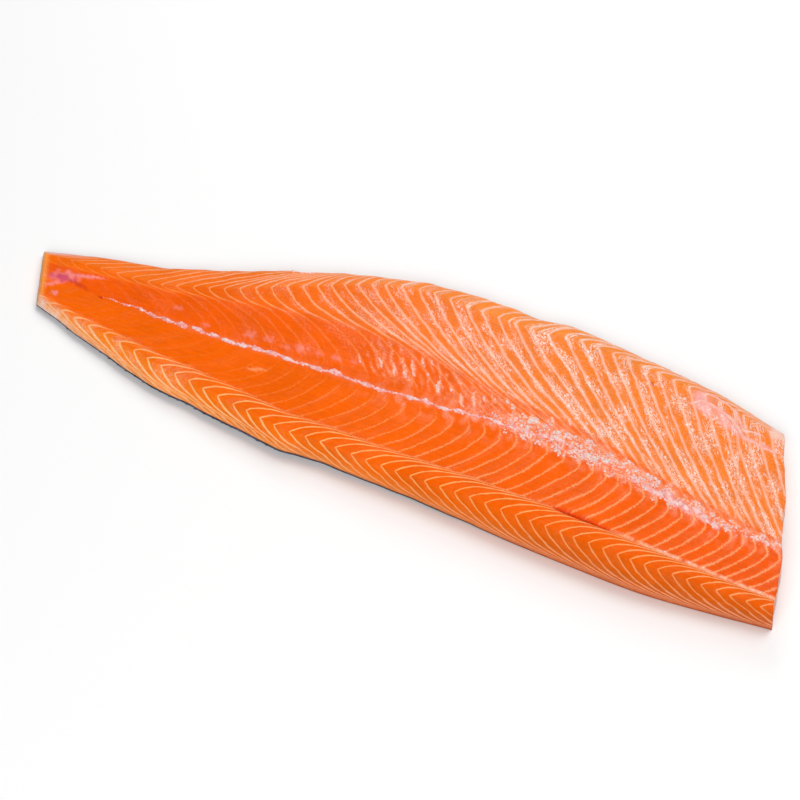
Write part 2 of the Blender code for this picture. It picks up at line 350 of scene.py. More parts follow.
FAT = {
    "belly wall": ((248, 180, 138), (251, 188, 150), (252, 202, 176), (253, 206, 184), (252, 200, 176)),
    "belly rim": ((252, 166, 112), (252, 176, 132), (253, 194, 170), (254, 202, 184), (254, 198, 178)),
    "flap": ((252, 154, 78), (252, 158, 86), (254, 176, 138), (254, 186, 160), (254, 184, 156)),
    "upper band": ((250, 124, 60), (251, 130, 64), (252, 148, 88), (253, 164, 112), (253, 166, 114)),
    "lower band": ((252, 130, 54), (252, 134, 58), (253, 150, 84), (253, 162, 104), (253, 164, 110)),
    "crease": ((253, 148, 74), (253, 156, 84), (254, 162, 92), (254, 170, 108), (254, 174, 116)),
    "loin": ((255, 206, 150), (255, 192, 122), (254, 178, 102), (253, 174, 104), (252, 172, 110)),
    # The fat lines on the shoulder and back wall also carry painted shade of the steep side towards the head.
    "shoulder": ((255, 212, 160), (255, 196, 132), (252, 170, 100), (248, 158, 94), (244, 154, 96)),
    "back wall": ((250, 200, 156), (253, 192, 140), (250, 176, 122), (246, 172, 126), (244, 170, 130)),
}
MEMBRANE_PINK, MEMBRANE_WHITE = (253, 178, 176), (254, 226, 222)
BLOOD_RED, TAIL_PURPLE, TAIL_PINK = (196, 24, 16), (212, 78, 108), (250, 150, 150)


def linear(colour):
    """Screen colour from 0 to 255 to the linear light that Blender mixes."""
    part = np.asarray(colour, float) / 255
    return np.where(part <= 0.04045, part / 12.92, ((part + 0.055) / 1.055) ** 2.4)


def strip_grid(table, share):
    """Spread a table of five stops for each strip over the grid, blurred a little across the strips."""
    names = [STRIPS[0][0]] + [name for name, count in STRIPS for _ in range(count)]
    knots = np.linspace(0, 1, 5)
    stops = {name: np.asarray(table[name], float).reshape(5, -1).T for name in table}
    grid = np.stack([np.stack([np.interp(share, knots, part) for part in stops[name]], axis=-1)
                     for name in names], axis=1)
    for _ in range(3):
        padded = np.pad(grid, ((0, 0), (1, 1), (0, 0)), mode="edge")
        grid = 0.25 * padded[:, :-2] + 0.5 * padded[:, 1:-1] + 0.25 * padded[:, 2:]
    return grid


meat = linear(strip_grid(MEAT, shares))
fat = linear(strip_grid(FAT, shares))
print("muscle colours:", meat.shape[0], "rows of", meat.shape[1])

# %% [markdown]
# ## How the fat lines are drawn
#
# A fat line has a width, a strength and a roughness of outline, and all three change over the fillet.
# On the flap the lines are wide and bright. In the band beside the backbone the knife has cut along
# the flakes, so only faint toothed edges are left.

# %% Width, strength, teeth and painted glints of each strip
LINE_WIDTH = {"belly wall": (1.0, 1.2, 1.4, 1.6, 1.5), "belly rim": (0.9, 1.1, 1.4, 1.8, 1.8),
              "flap": (0.8, 1.2, 2.0, 2.1, 2.0), "upper band": (0.9, 1.1, 1.4, 1.6, 1.4),
              "lower band": (0.8, 0.9, 1.1, 1.3, 1.3), "crease": (0.9, 1.0, 1.1, 1.2, 1.3),
              "loin": (1.1, 1.1, 0.95, 0.95, 0.95), "shoulder": (1.4, 1.3, 1.1, 1.05, 1.05),
              "back wall": (1.0, 1.0, 1.1, 1.4, 1.6)}
LINE_STRENGTH = {"belly wall": (0.3, 0.5, 0.5, 0.5, 0.5), "belly rim": (0.5, 0.8, 0.8, 0.7, 0.6),
                 "flap": (0.3, 0.8, 0.9, 0.85, 0.8), "upper band": (0.1, 0.3, 0.5, 0.5, 0.35),
                 "lower band": (0.05, 0.2, 0.7, 0.85, 0.85), "crease": (0.2, 0.5, 0.7, 0.8, 0.85),
                 "loin": (0.6, 0.95, 1.0, 0.95, 0.9), "shoulder": (0.6, 0.95, 0.95, 0.85, 0.85),
                 "back wall": (0.6, 0.75, 0.75, 0.75, 0.75)}
LINE_TEETH = {"belly wall": (0.2,) * 5, "belly rim": (0.4, 0.4, 0.5, 0.8, 0.8),
              "flap": (0.3, 0.4, 0.5, 0.7, 0.7), "upper band": (1.2,) * 5, "lower band": (1.6,) * 5,
              "crease": (0.6,) * 5, "loin": (0.2,) * 5, "shoulder": (0.2,) * 5, "back wall": (0.3,) * 5}
# How much white glint is painted into each strip's colour: painted highlights.
GLINT_AMOUNT = {"belly wall": (0.05, 0.1, 0.3, 0.5, 0.5), "belly rim": (0.03, 0.08, 0.5, 0.8, 0.6),
           "flap": (0.02, 0.05, 0.42, 0.85, 0.8), "upper band": (0.04, 0.05, 0.12, 0.24, 0.28),
           "lower band": (0.02, 0.02, 0.03, 0.04, 0.04), "crease": (0.1, 0.08, 0.1, 0.15, 0.15),
           "loin": (0.25, 0.08, 0.02, 0.02, 0.02), "shoulder": (0.5, 0.12, 0.02, 0.02, 0.02),
           "back wall": (0.3, 0.1, 0.02, 0.02, 0.02)}


line_width, line_strength, line_teeth, glint_amount = (
    strip_grid(table, shares)[..., 0] for table in (LINE_WIDTH, LINE_STRENGTH, LINE_TEETH, GLINT_AMOUNT))
from_bone = np.abs(top[..., 1] - top[:, BONE_AT:BONE_AT + 1, 1])
faint = 0.75 * (1 - smooth(top[..., 0], 20, 110))
line_strength *= 1 - faint * (1 - smooth(from_bone, 4, 17))
line_strength[:, BONE_AT - 2:BONE_AT + 3] = 0.0
print("widest fat line, mm:", round(float(line_width.max()), 1))

# %% [markdown]
# ## Marks of the knife and the bone
#
# No two fillets have the same marks: a bruised purple patch where the tail was gripped, a dark streak
# of blood line, pink spots where small bones came out, and pink membrane over the flap. One pale streak
# in the band below the backbone is a painted glint. Each is painted into the colours at its own place on
# the fillet, with a soft edge, before the mesh is made.

# %% Paint soft marks into the colours
def rough(points, size, seed):
    """A fixed, smooth, uneven field between about -1 and 1, made of a few crossing waves."""
    draw = np.random.default_rng(seed)
    field = 0.0
    for k in range(7):
        turn, phase = draw.uniform(0, 2 * np.pi), draw.uniform(0, 2 * np.pi)
        pace = 2 * np.pi / (size * draw.uniform(0.6, 1.6))
        field = field + np.sin((points[..., 0] * np.cos(turn) + points[..., 1] * np.sin(turn)) * pace + phase)
    return field / 2.6


def spot(points, middle, reach, turn=0.0, ragged=0.28):
    """A soft oval with an uneven outline: 1 in the middle and 0 outside."""
    dx, dy = points[..., 0] - middle[0], points[..., 1] - middle[1]
    run = (dx * np.cos(turn) + dy * np.sin(turn)) / reach[0]
    rise = (dy * np.cos(turn) - dx * np.sin(turn)) / reach[1]
    return 1 - smooth(np.hypot(run, rise) + ragged * rough(points, min(reach) * 1.5, 7), 0.25, 1.3)


def paint(grid, colour, amount):
    """Lay a screen colour over part of a colour grid."""
    grid += (linear(colour) - grid) * amount[..., None]


MARKS = (  # middle, reach, turn, colour, amount
    ((-274, -12.0), (13, 5.0), 0.25, TAIL_PINK, 0.75), ((-278, -20.5), (9, 2.2), 0.6, TAIL_PINK, 0.6),
    ((-256, -5.5), (13, 1.8), 0.22, TAIL_PINK, 0.8), ((-274, -13.0), (10, 4.5), 0.2, TAIL_PURPLE, 0.95),
    ((-259, -14.5), (11, 2.2), -0.15, (206, 66, 30), 0.75), ((-237.5, -19.5), (2.0, 1.3), 0.0, BLOOD_RED, 0.9),
    ((-272.5, -28.0), (3.0, 2.4), 0.0, TAIL_PINK, 0.8), ((-178.5, -8.0), (4.5, 2.4), 0.3, MEMBRANE_PINK, 0.22),
    ((-152.5, -15.0), (4.0, 2.2), 0.0, MEMBRANE_PINK, 0.26), ((-117.5, -11.0), (5.0, 3.2), 0.2, MEMBRANE_PINK, 0.3),
    ((-103.0, -10.0), (4.5, 2.8), 0.0, MEMBRANE_PINK, 0.28), ((-88.0, -12.0), (4.0, 2.6), 0.0, MEMBRANE_PINK, 0.22),
    ((-77.5, -9.5), (6.0, 3.4), 0.1, MEMBRANE_PINK, 0.34), ((-63.0, -9.0), (3.6, 2.2), 0.0, MEMBRANE_PINK, 0.22),
    ((-49.5, -8.0), (4.5, 2.8), 0.0, MEMBRANE_PINK, 0.3), ((-36.0, -6.0), (3.6, 2.2), 0.0, MEMBRANE_PINK, 0.22),
    # The pale streak at (-99.5, -38) is a painted glint.
    ((-99.5, -38.0), (8.0, 1.6), 0.35, (253, 176, 120), 0.6), ((167.5, 62.5), (2.4, 1.6), 0.4, BLOOD_RED, 0.85),
    ((174.0, 67.5), (1.6, 1.2), 0.0, BLOOD_RED, 0.5), ((183.0, 80.5), (2.6, 1.0), 0.0, BLOOD_RED, 0.4),
    ((208.0, 63.0), (14, 9.0), -0.9, MEMBRANE_PINK, 0.8), ((224.0, 55.0), (12, 6.0), -0.5, MEMBRANE_PINK, 0.7),
    ((236.0, 47.0), (12, 2.6), -0.3, MEMBRANE_PINK, 0.7), ((255.0, 44.0), (12, 2.4), -0.1, MEMBRANE_PINK, 0.6),
    ((262.0, 61.0), (10, 7.0), -0.6, (250, 214, 200), 0.7), ((203.5, -29.5), (5.0, 2.6), -0.3, MEMBRANE_PINK, 0.8),
    ((214.0, -32.5), (5.0, 2.8), -0.3, MEMBRANE_PINK, 0.8), ((226.0, -34.5), (5.0, 2.6), -0.3, MEMBRANE_PINK, 0.8),
    ((236.0, -36.0), (4.5, 2.4), -0.3, MEMBRANE_PINK, 0.8),
)
for middle, reach, turn, colour, amount in MARKS:
    mask = spot(top, middle, reach, turn) * amount
    paint(meat, colour, mask)
    paint(fat, colour, mask * 0.7)
print("marks painted:", len(MARKS))

# %% [markdown]
# The curd along the backbone, the dark inside of the slit, the whitish skin rim at the tail corner and
# the pale line along the crease follow guide lines, so they are painted by their distance from those
# lines instead of from a spot.

# %% Paint what follows the guide lines
share_grid = np.broadcast_to(shares[:, None], top.shape[:2])
RIB_TUFTS_AND_GLINTS = (  # start and end of each pale stroke beside the backbone, partly torn rib membrane and partly painted glint, and its half width
    (-20.5, 3.6, -15.5, -3.8, 0.9), (-9.0, 2.3, -4.5, -7.0, 1.0), (-1.3, 3.6, 3.4, -6.0, 1.0),
    (1.9, 10.5, 8.5, -1.9, 1.0), (8.0, 15.5, 12.5, 7.5, 0.9), (14.5, 15.5, 17.0, 11.5, 0.7),
    (27.0, -0.1, 31.0, -11.5, 1.2), (36.5, -1.0, 38.5, -4.5, 0.8), (45.5, -3.9, 50.5, -13.5, 1.2),
    (54.0, -0.4, 58.0, -10.0, 1.1), (61.0, 1.0, 64.0, -3.5, 0.9), (69.0, 2.0, 72.0, -2.5, 0.9),
    (77.0, 5.5, 79.5, 1.5, 0.8), (82.5, 2.0, 85.5, -2.0, 0.8), (93.5, -2.5, 96.0, -7.0, 0.9),
    (99.0, -2.0, 101.5, -7.0, 0.9), (-36.0, 1.0, -32.0, -5.0, 0.7), (112.0, 4.0, 115.0, -2.0, 0.8),
    (124.0, 6.0, 127.5, 0.0, 0.8), (136.0, 8.0, 139.0, 2.0, 0.8), (148.0, 7.0, 151.5, 1.0, 0.8))


def stroke(points, start, end, half):
    """A soft mask along a straight stroke between two places."""
    start, run = np.array(start), np.array(end) - np.array(start)
    off = points[..., :2] - start
    t = np.clip((off @ run) / (run @ run), 0.0, 1.0)
    away = np.linalg.norm(off - t[..., None] * run, axis=-1) + 0.45 * rough(points, 3.5, 21)
    taper = half * (1 - 0.7 * (2 * t - 1) ** 2)
    return 1 - smooth(away, 0.2 * taper, 1.8 * taper)


FROTH_SHARES = (0.0, 0.50, 0.5625, 0.625, 0.6875, 0.75, 0.8125, 0.875, 0.9375, 1.0)
FROTH_TOP = (-19, -17, -15, -9, -3.5, -7, -14, -23.5, -31.5, -31.5)
FROTH_FOOT = (-21, -20.5, -20.5, -20.5, -24.5, -27, -30.5, -36.5, -40, -37.5)
froth_top, froth_foot = (np.interp(shares, FROTH_SHARES, line)[:, None] for line in (FROTH_TOP, FROTH_FOOT))
wander = 2.2 * rough(top, 9, 3)
froth = smooth(top[..., 1] + wander, froth_foot - 1.5, froth_foot + 2.0)
froth *= 1 - smooth(top[..., 1] + wander, froth_top - 2.0, froth_top + 2.5)
froth *= smooth(share_grid, 0.56, 0.68) * (0.75 + 0.25 * rough(top, 14, 5))
froth = np.clip(froth, 0.0, 1.0)
froth[:, :SEAM_AT - 20] = 0.0
# Each stroke is painted pale, partly membrane colour and partly painted glint, and adds to the curd mask for glint
# grains.
for x1, y1, x2, y2, half in RIB_TUFTS_AND_GLINTS:
    tuft_and_glint = stroke(top, (x1, y1), (x2, y2), half)
    froth = np.maximum(froth, 0.8 * tuft_and_glint)
    paint(meat, (255, 200, 176), tuft_and_glint * 0.7)
paint(meat, (250, 170, 140), froth * 0.35)

depth_below = np.maximum(0.0, (over[:, CREASE_AT - 3:CREASE_AT - 2, 1] - over[..., 1]))
in_slit = np.zeros(top.shape[:2])
in_slit[:, CREASE_AT - 3:CREASE_AT + 4] = smooth(depth_below[:, CREASE_AT - 3:CREASE_AT + 4], 0.7, 2.2)
paint(meat, (246, 104, 14), in_slit * 0.9)
line_strength *= 1 - in_slit

crease_y, bone_y, seam_y = (top[:, at:at + 1, 1] for at in (CREASE_AT, BONE_AT, SEAM_AT))
# A pale line along the crease lip: partly a pale seam, partly painted highlight where the lip catches light.
crease_seam_and_highlight = np.exp(-((top[..., 1] - crease_y - 0.6) / 0.9) ** 2) * smooth(share_grid, 0.78, 0.84)
crease_seam_and_highlight *= (0.75 + 0.5 * rough(top, 7, 9)).clip(0, 1)
paint(meat, (255, 190, 150), crease_seam_and_highlight * 0.9)
froth = np.maximum(froth, 0.55 * crease_seam_and_highlight)

rib_zone = smooth(top[..., 0], -45, -20) * (1 - smooth(top[..., 0], 100, 150))
rib_zone = rib_zone * smooth(top[..., 1], bone_y + 7, bone_y + 15) * (1 - smooth(top[..., 1], seam_y - 9, seam_y - 1))
# Lighter orange stripes across the band: painted highlights of the ridges there, which also add glint grains.
rib_highlights = 0.5 + 0.5 * np.sin((top[..., 0] + 0.66 * top[..., 1]) * 2 * np.pi / 7.4 + 2.2 * rough(top, 26, 13))
rib_highlights = rib_highlights ** 2.5 * rib_zone * (0.75 + 0.6 * rough(top, 8, 17)).clip(0, 1.2)
paint(meat, (253, 150, 96), 0.55 * rib_highlights.clip(0, 1))
froth = np.maximum(froth, 0.42 * rib_highlights)

bone_seam = np.exp(-(from_bone / 2.2) ** 2) * smooth(share_grid, 0.12, 0.2) * (1 - smooth(share_grid, 0.56, 0.64))
paint(meat, (250, 128, 84), bone_seam * 0.55)
haze = np.exp(-(from_bone / 15) ** 2) * smooth(share_grid, 0.36, 0.6) * smooth(rough(top, 11, 31), -0.1, 0.7)
haze[:, :SEAM_AT] = 0.0
paint(meat, (253, 146, 104), haze * 0.5)
# White glints are painted beside the curd as well: painted highlights.
glint_amount = np.maximum(glint_amount, 0.3 * haze)

tail_rim = (1 - smooth(share_grid, 0.0, 0.09)) * smooth(top[..., 1], top[:, BELLY_RIM_AT:BELLY_RIM_AT + 1, 1] - 4, 
                                                        top[:, BELLY_RIM_AT:BELLY_RIM_AT + 1, 1])
paint(meat, (232, 206, 214), tail_rim * 0.7)
tail_face = 1 - smooth(top[..., 0] - top[:1, :, 0], 0.0, 6.0)
paint(meat, (253, 166, 78), tail_face * 0.75)
corner = (1 - smooth(share_grid, 0.0, 0.07)) * (1 - smooth(top[..., 1], top[:, BACK_RIM_AT:BACK_RIM_AT + 1, 1] + 1,
                                                           top[:, LOIN_TIP_AT:LOIN_TIP_AT + 1, 1] + 3))
paint(meat, (246, 226, 226), corner * (0.55 + 0.45 * rough(top, 6, 31)).clip(0, 1) * 0.85)
print("froth covers", int((froth > 0.5).sum()), "points; slit", int((in_slit > 0.5).sum()))

# %% [markdown]
# ## The flesh as one closed body
#
# The top grid, a coarser underside and the two cut faces are joined into one closed mesh, so that it
# could be sliced or printed. The cut faces have their own rows of points between top and bottom, since
# the flakes show there as nested arcs.

# %% Underside and cut faces
COARSE = 10
CAP_STEPS = 6


def skin_section(share, depth, arc_steps, flat_steps):
    """Section lines that lie the given depth inside the skin's outer face, belly edge to back edge."""
    belly, back = belly_edge(share)[:, None], back_edge(share)[:, None]
    belly_rise, back_rise = (along(line, share)[:, None] for line in (SKIN_RISE_BELLY, SKIN_RISE_BACK))
    turn = np.linspace(0.0, np.pi / 2, arc_steps + 1)[None, :]
    belly_arc = np.stack([belly - SKIN_ARC + (SKIN_ARC - depth) * np.cos(turn),
                          belly_rise - (belly_rise - depth) * np.sin(turn)], axis=-1)
    back_arc = np.stack([back + SKIN_ARC - (SKIN_ARC - depth) * np.cos(turn),
                         back_rise - (back_rise - depth) * np.sin(turn)], axis=-1)[:, ::-1]
    t = np.linspace(0, 1, flat_steps + 1)[None, 1:-1, None]
    flat = belly_arc[:, -1:] * (1 - t) + back_arc[:, :1] * t
    return np.concatenate([belly_arc, flat, back_arc], axis=1)


columns = top.shape[1]
under = stand(shares[:, None], skin_section(shares, SKIN_THICKNESS + SKIN_GAP, 40, columns - 1 - 80))
fair_edges = np.stack([along(BELLY_EDGE, shares), along(BACK_EDGE, shares)], axis=1)
edge_tops = np.stack([along(SKIN_RISE_BELLY, shares), along(SKIN_RISE_BACK, shares)], axis=1)
fair_feet = fair_edges + np.array([-SKIN_ARC, SKIN_ARC])
outline = np.concatenate([stand(shares[:, None], np.stack([fair_edges, edge_tops], axis=-1)),
                          stand(shares[:, None], np.stack([fair_feet, 0 * fair_feet], axis=-1))]).reshape(-1, 3)
skin_low, skin_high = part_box("skin")
own_low, own_high = outline.min(axis=0) * MM, outline.max(axis=0) * MM
stretch = np.append((np.array(skin_high) - np.array(skin_low))[:2] / (own_high - own_low)[:2], 1.0)
shift = np.append((np.array(skin_high) + np.array(skin_low))[:2] / 2 - (own_high + own_low)[:2] / 2 * stretch[:2], 0)


def seat(points):
    """Bring points in mm into the model's frame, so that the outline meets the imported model's."""
    return np.asarray(points, float) * MM * stretch + shift


print("stretch to the packed model:", np.round(stretch, 4), "shift, mm:", np.round(shift / MM, 2))


def cut_face(row, sign):
    """Points, flake numbers and their spacing over the cut face at one end, from the top edge down."""
    t = (np.arange(1, CAP_STEPS + 1) / CAP_STEPS)[:, None, None]
    line = over[row][None] * (1 - t) + under[row][None, :, 1:] * t
    face = stand(np.full((CAP_STEPS, 1), shares[row]), line)
    depth = over[row][None, :, 1] - line[..., 1]
    number = flake[row][None] + sign * depth / 8.5
    return face, number, np.full(number.shape, 6.0)


tail_cap, head_cap = cut_face(0, 1), cut_face(ROWS - 1, -1)
print("points on each cut face:", tail_cap[0].shape[0] * tail_cap[0].shape[1])

# %% Join the grids into one mesh with its markings
def flesh_points():
    """All points of the closed body with the numbers and colours that the finish reads."""
    coarse = under[1:-1, ::COARSE]
    whole = [top, coarse, tail_cap[0], head_cap[0]]

    def fill(value, like):
        return np.full(like.shape[:2], float(value))

    def both_caps(grid, factor=1.0):
        return [np.broadcast_to(grid[row][None], (CAP_STEPS,) + grid[row].shape) * factor for row in (0, -1)]

    marks = {
        "flake": [flake, fill(0.5, coarse), tail_cap[1], head_cap[1]],
        "gap": [flake_pitch, fill(9, coarse), tail_cap[2], head_cap[2]],
        "width": [line_width, fill(0, coarse)] + both_caps(line_width, 0.9),
        "strength": [line_strength, fill(0, coarse)] + both_caps(line_strength, 0.9),
        "teeth": [line_teeth, fill(0, coarse)] + both_caps(line_teeth, 0.5),
        "glint_amount": [glint_amount, fill(0, coarse)] + both_caps(glint_amount, 0.3),
        "froth": [froth, fill(0, coarse)] + both_caps(froth, 0.0),
        "relief": [relief, fill(0, coarse)] + both_caps(relief, 0.0),
    }
    tail_pale, head_pale = (linear(tone) for tone in ((252, 150, 66), (251, 178, 154)))
    colours = {
        "meat": [meat, np.tile(linear((244, 150, 90)), coarse.shape[:2] + (1,))] + [
            c * 0.35 + 0.65 * pale for c, pale in zip(both_caps(meat), (tail_pale, head_pale))],
        "fat": [fat, np.tile(linear((250, 200, 170)), coarse.shape[:2] + (1,))] + both_caps(fat),
    }

    def flat(parts, width):
        return np.concatenate([np.asarray(part).reshape(-1, width) for part in parts])

    numbers_of = {name: flat(parts, 1)[:, 0] for name, parts in marks.items()}
    colours_of = {name: flat(parts, 3) for name, parts in colours.items()}
    return seat(flat(whole, 3)), numbers_of, colours_of


relief = np.ones(top.shape[:2])
relief[:, :BELLY_RIM_AT] = relief[:, BACK_RIM_AT:] = 0.25
relief[:, BONE_AT - 2:BONE_AT + 3] = 0.0
relief[:, CREASE_AT - 3:CREASE_AT + 4] = 0.0
relief[0] = relief[-1] = 0.0


def flesh_faces():
    """Faces between the grids. Where a fine row meets a coarse one, a many-sided face closes the step."""
    inner = ROWS - 2
    low_columns = (columns - 1) // COARSE + 1
    low_start = ROWS * columns
    cap_start = [low_start + inner * low_columns, low_start + inner * low_columns + CAP_STEPS * columns]

    def high(i, j):
        return i * columns + j

    def low(i, j):
        return low_start + (i - 1) * low_columns + j

    def cap(end, k, j):
        return high(0 if end == 0 else ROWS - 1, j) if k == 0 else cap_start[end] + (k - 1) * columns + j

    faces = []
    for i in range(ROWS - 1):
        for j in range(columns - 1):
            faces.append((high(i, j), high(i, j + 1), high(i + 1, j + 1), high(i + 1, j)))
    for i in range(1, inner):
        for j in range(low_columns - 1):
            faces.append((low(i, j), low(i + 1, j), low(i + 1, j + 1), low(i, j + 1)))
        for j, low_j in ((0, 0), (columns - 1, low_columns - 1)):
            side = (high(i, j), high(i + 1, j), low(i + 1, low_j), low(i, low_j))
            faces.append(side if j == 0 else side[::-1])
    for end in (0, 1):
        row, near = (0, 1) if end == 0 else (ROWS - 1, ROWS - 2)
        for k in range(CAP_STEPS):
            for j in range(columns - 1):
                quad = (cap(end, k, j), cap(end, k + 1, j), cap(end, k + 1, j + 1), cap(end, k, j + 1))
                faces.append(quad if end == 0 else quad[::-1])
        for j in range(low_columns - 1):
            fine = [cap(end, CAP_STEPS, j * COARSE + m) for m in range(COARSE + 1)]
            ring = fine + [low(near, j + 1), low(near, j)]
            faces.append(tuple(ring if end == 1 else ring[::-1]))
        for j, low_j in ((0, 0), (columns - 1, low_columns - 1)):
            ring = [cap(end, k, j) for k in range(CAP_STEPS + 1)] + [low(near, low_j), high(near, j)]
            faces.append(tuple(ring if (end == 0) == (j == 0) else ring[::-1]))
    return faces


def build(name, points, faces):
    """Make a mesh object from points and faces, smooth shaded, with faces turned outwards."""
    mesh = bpy.data.meshes.new(name)
    mesh.from_pydata(np.asarray(points).tolist(), [], faces)
    tidy = bmesh.new()
    tidy.from_mesh(mesh)
    bmesh.ops.recalc_face_normals(tidy, faces=tidy.faces[:])
    tidy.to_mesh(mesh)
    tidy.free()
    mesh.shade_smooth()
    piece = bpy.data.objects.new(name, mesh)
    bpy.context.scene.collection.objects.link(piece)
    return piece


def mark(piece, name, values, kind="FLOAT"):
    """Store one value for each point of a piece, under a name that materials and node trees can read."""
    layer = piece.data.attributes.new(name, kind, "POINT")
    if kind == "FLOAT_COLOR":
        layer.data.foreach_set("color", np.column_stack([values, np.ones(len(values))]).ravel())
    else:
        layer.data.foreach_set("value", np.asarray(values, float).ravel())


points, numbers_of, colours_of = flesh_points()
raw_flesh = build("raw_flesh", points, flesh_faces())
for name, values in numbers_of.items():
    mark(raw_flesh, name, values)
for name, values in colours_of.items():
    mark(raw_flesh, name, values, "FLOAT_COLOR")
print("flesh:", len(raw_flesh.data.vertices), "points,", len(raw_flesh.data.polygons), "faces")

# %% [markdown]
# ## A shorter way to write node trees
#
# Shader trees and geometry trees are made of the same boxes and wires. The two small classes below let
# a tree be written as ordinary sums: adding two wires adds a Math node, and one method makes any other
# node. It takes the node's type, its settings and what goes into its sockets.

# %% Wires and graphs
class Wire:
    """One output of a node. Arithmetic on it adds Math nodes to the same tree."""

    def __init__(self, graph, socket):
        self.graph, self.socket = graph, socket

    def math(self, operation, *others):
        return self.graph.node("ShaderNodeMath", {"operation": operation}, [self, *others])

    def flipped(self, operation, other):
        return self.graph.node("ShaderNodeMath", {"operation": operation}, [other, self])

    def __add__(self, other): return self.math("ADD", other)
    def __radd__(self, other): return self.flipped("ADD", other)
    def __sub__(self, other): return self.math("SUBTRACT", other)
    def __rsub__(self, other): return self.flipped("SUBTRACT", other)
    def __mul__(self, other): return self.math("MULTIPLY", other)
    def __rmul__(self, other): return self.flipped("MULTIPLY", other)
    def __truediv__(self, other): return self.math("DIVIDE", other)
    def __abs__(self): return self.math("ABSOLUTE")

    def ramp(self, start, end, low=0.0, high=1.0):
        """Rise smoothly from low to high while this value goes from start to end."""
        return self.graph.node("ShaderNodeMapRange", {"interpolation_type": "SMOOTHSTEP"},
                               {"Value": self, "From Min": start, "From Max": end,
                                "To Min": low, "To Max": high})


class Graph:
    """A node tree that is being written, for a material or for geometry."""

    def __init__(self, tree):
        self.tree = tree

    def node(self, kind, settings=None, sockets=None, out=0):
        """Add a node, give it its settings, then feed its sockets with numbers or wires."""
        node = self.tree.nodes.new(kind)
        for name, value in (settings or {}).items():
            setattr(node, name, value)
        pairs = enumerate(sockets) if isinstance(sockets, (list, tuple)) else (sockets or {}).items()
        for key, value in pairs:
            if isinstance(value, Wire):
                self.tree.links.new(value.socket, node.inputs[key])
            elif value is not None:
                node.inputs[key].default_value = value
        return Wire(self, node.outputs[out]) if len(node.outputs) else node

    def mix(self, factor, first, second, blend="MIX"):
        """Mix two colours."""
        return self.node("ShaderNodeMix", {"data_type": "RGBA", "blend_type": blend},
                         {0: factor, 6: first, 7: second}, out=2)

    def noise(self, where, scale, detail=2.0, roughness=0.5, out=0):
        return self.node("ShaderNodeTexNoise", {}, {"Vector": where, "Scale": scale, "Detail": detail,
                                                   "Roughness": roughness}, out=out)


def colour(rgb):
    """Screen colour as the four numbers that a colour socket takes."""
    return (*[float(part) for part in linear(rgb)], 1.0)


def new_finish(name):
    """An empty material and the graph that writes it."""
    material = bpy.data.materials.new(name)
    material.use_nodes = True
    material.node_tree.nodes.clear()
    return material, Graph(material.node_tree)


def close_finish(graph, sockets):
    """End a material in one Principled shader."""
    shader = graph.node("ShaderNodeBsdfPrincipled", {}, sockets)
    graph.node("ShaderNodeOutputMaterial", {}, {"Surface": shader})


print("helpers for node trees are ready")
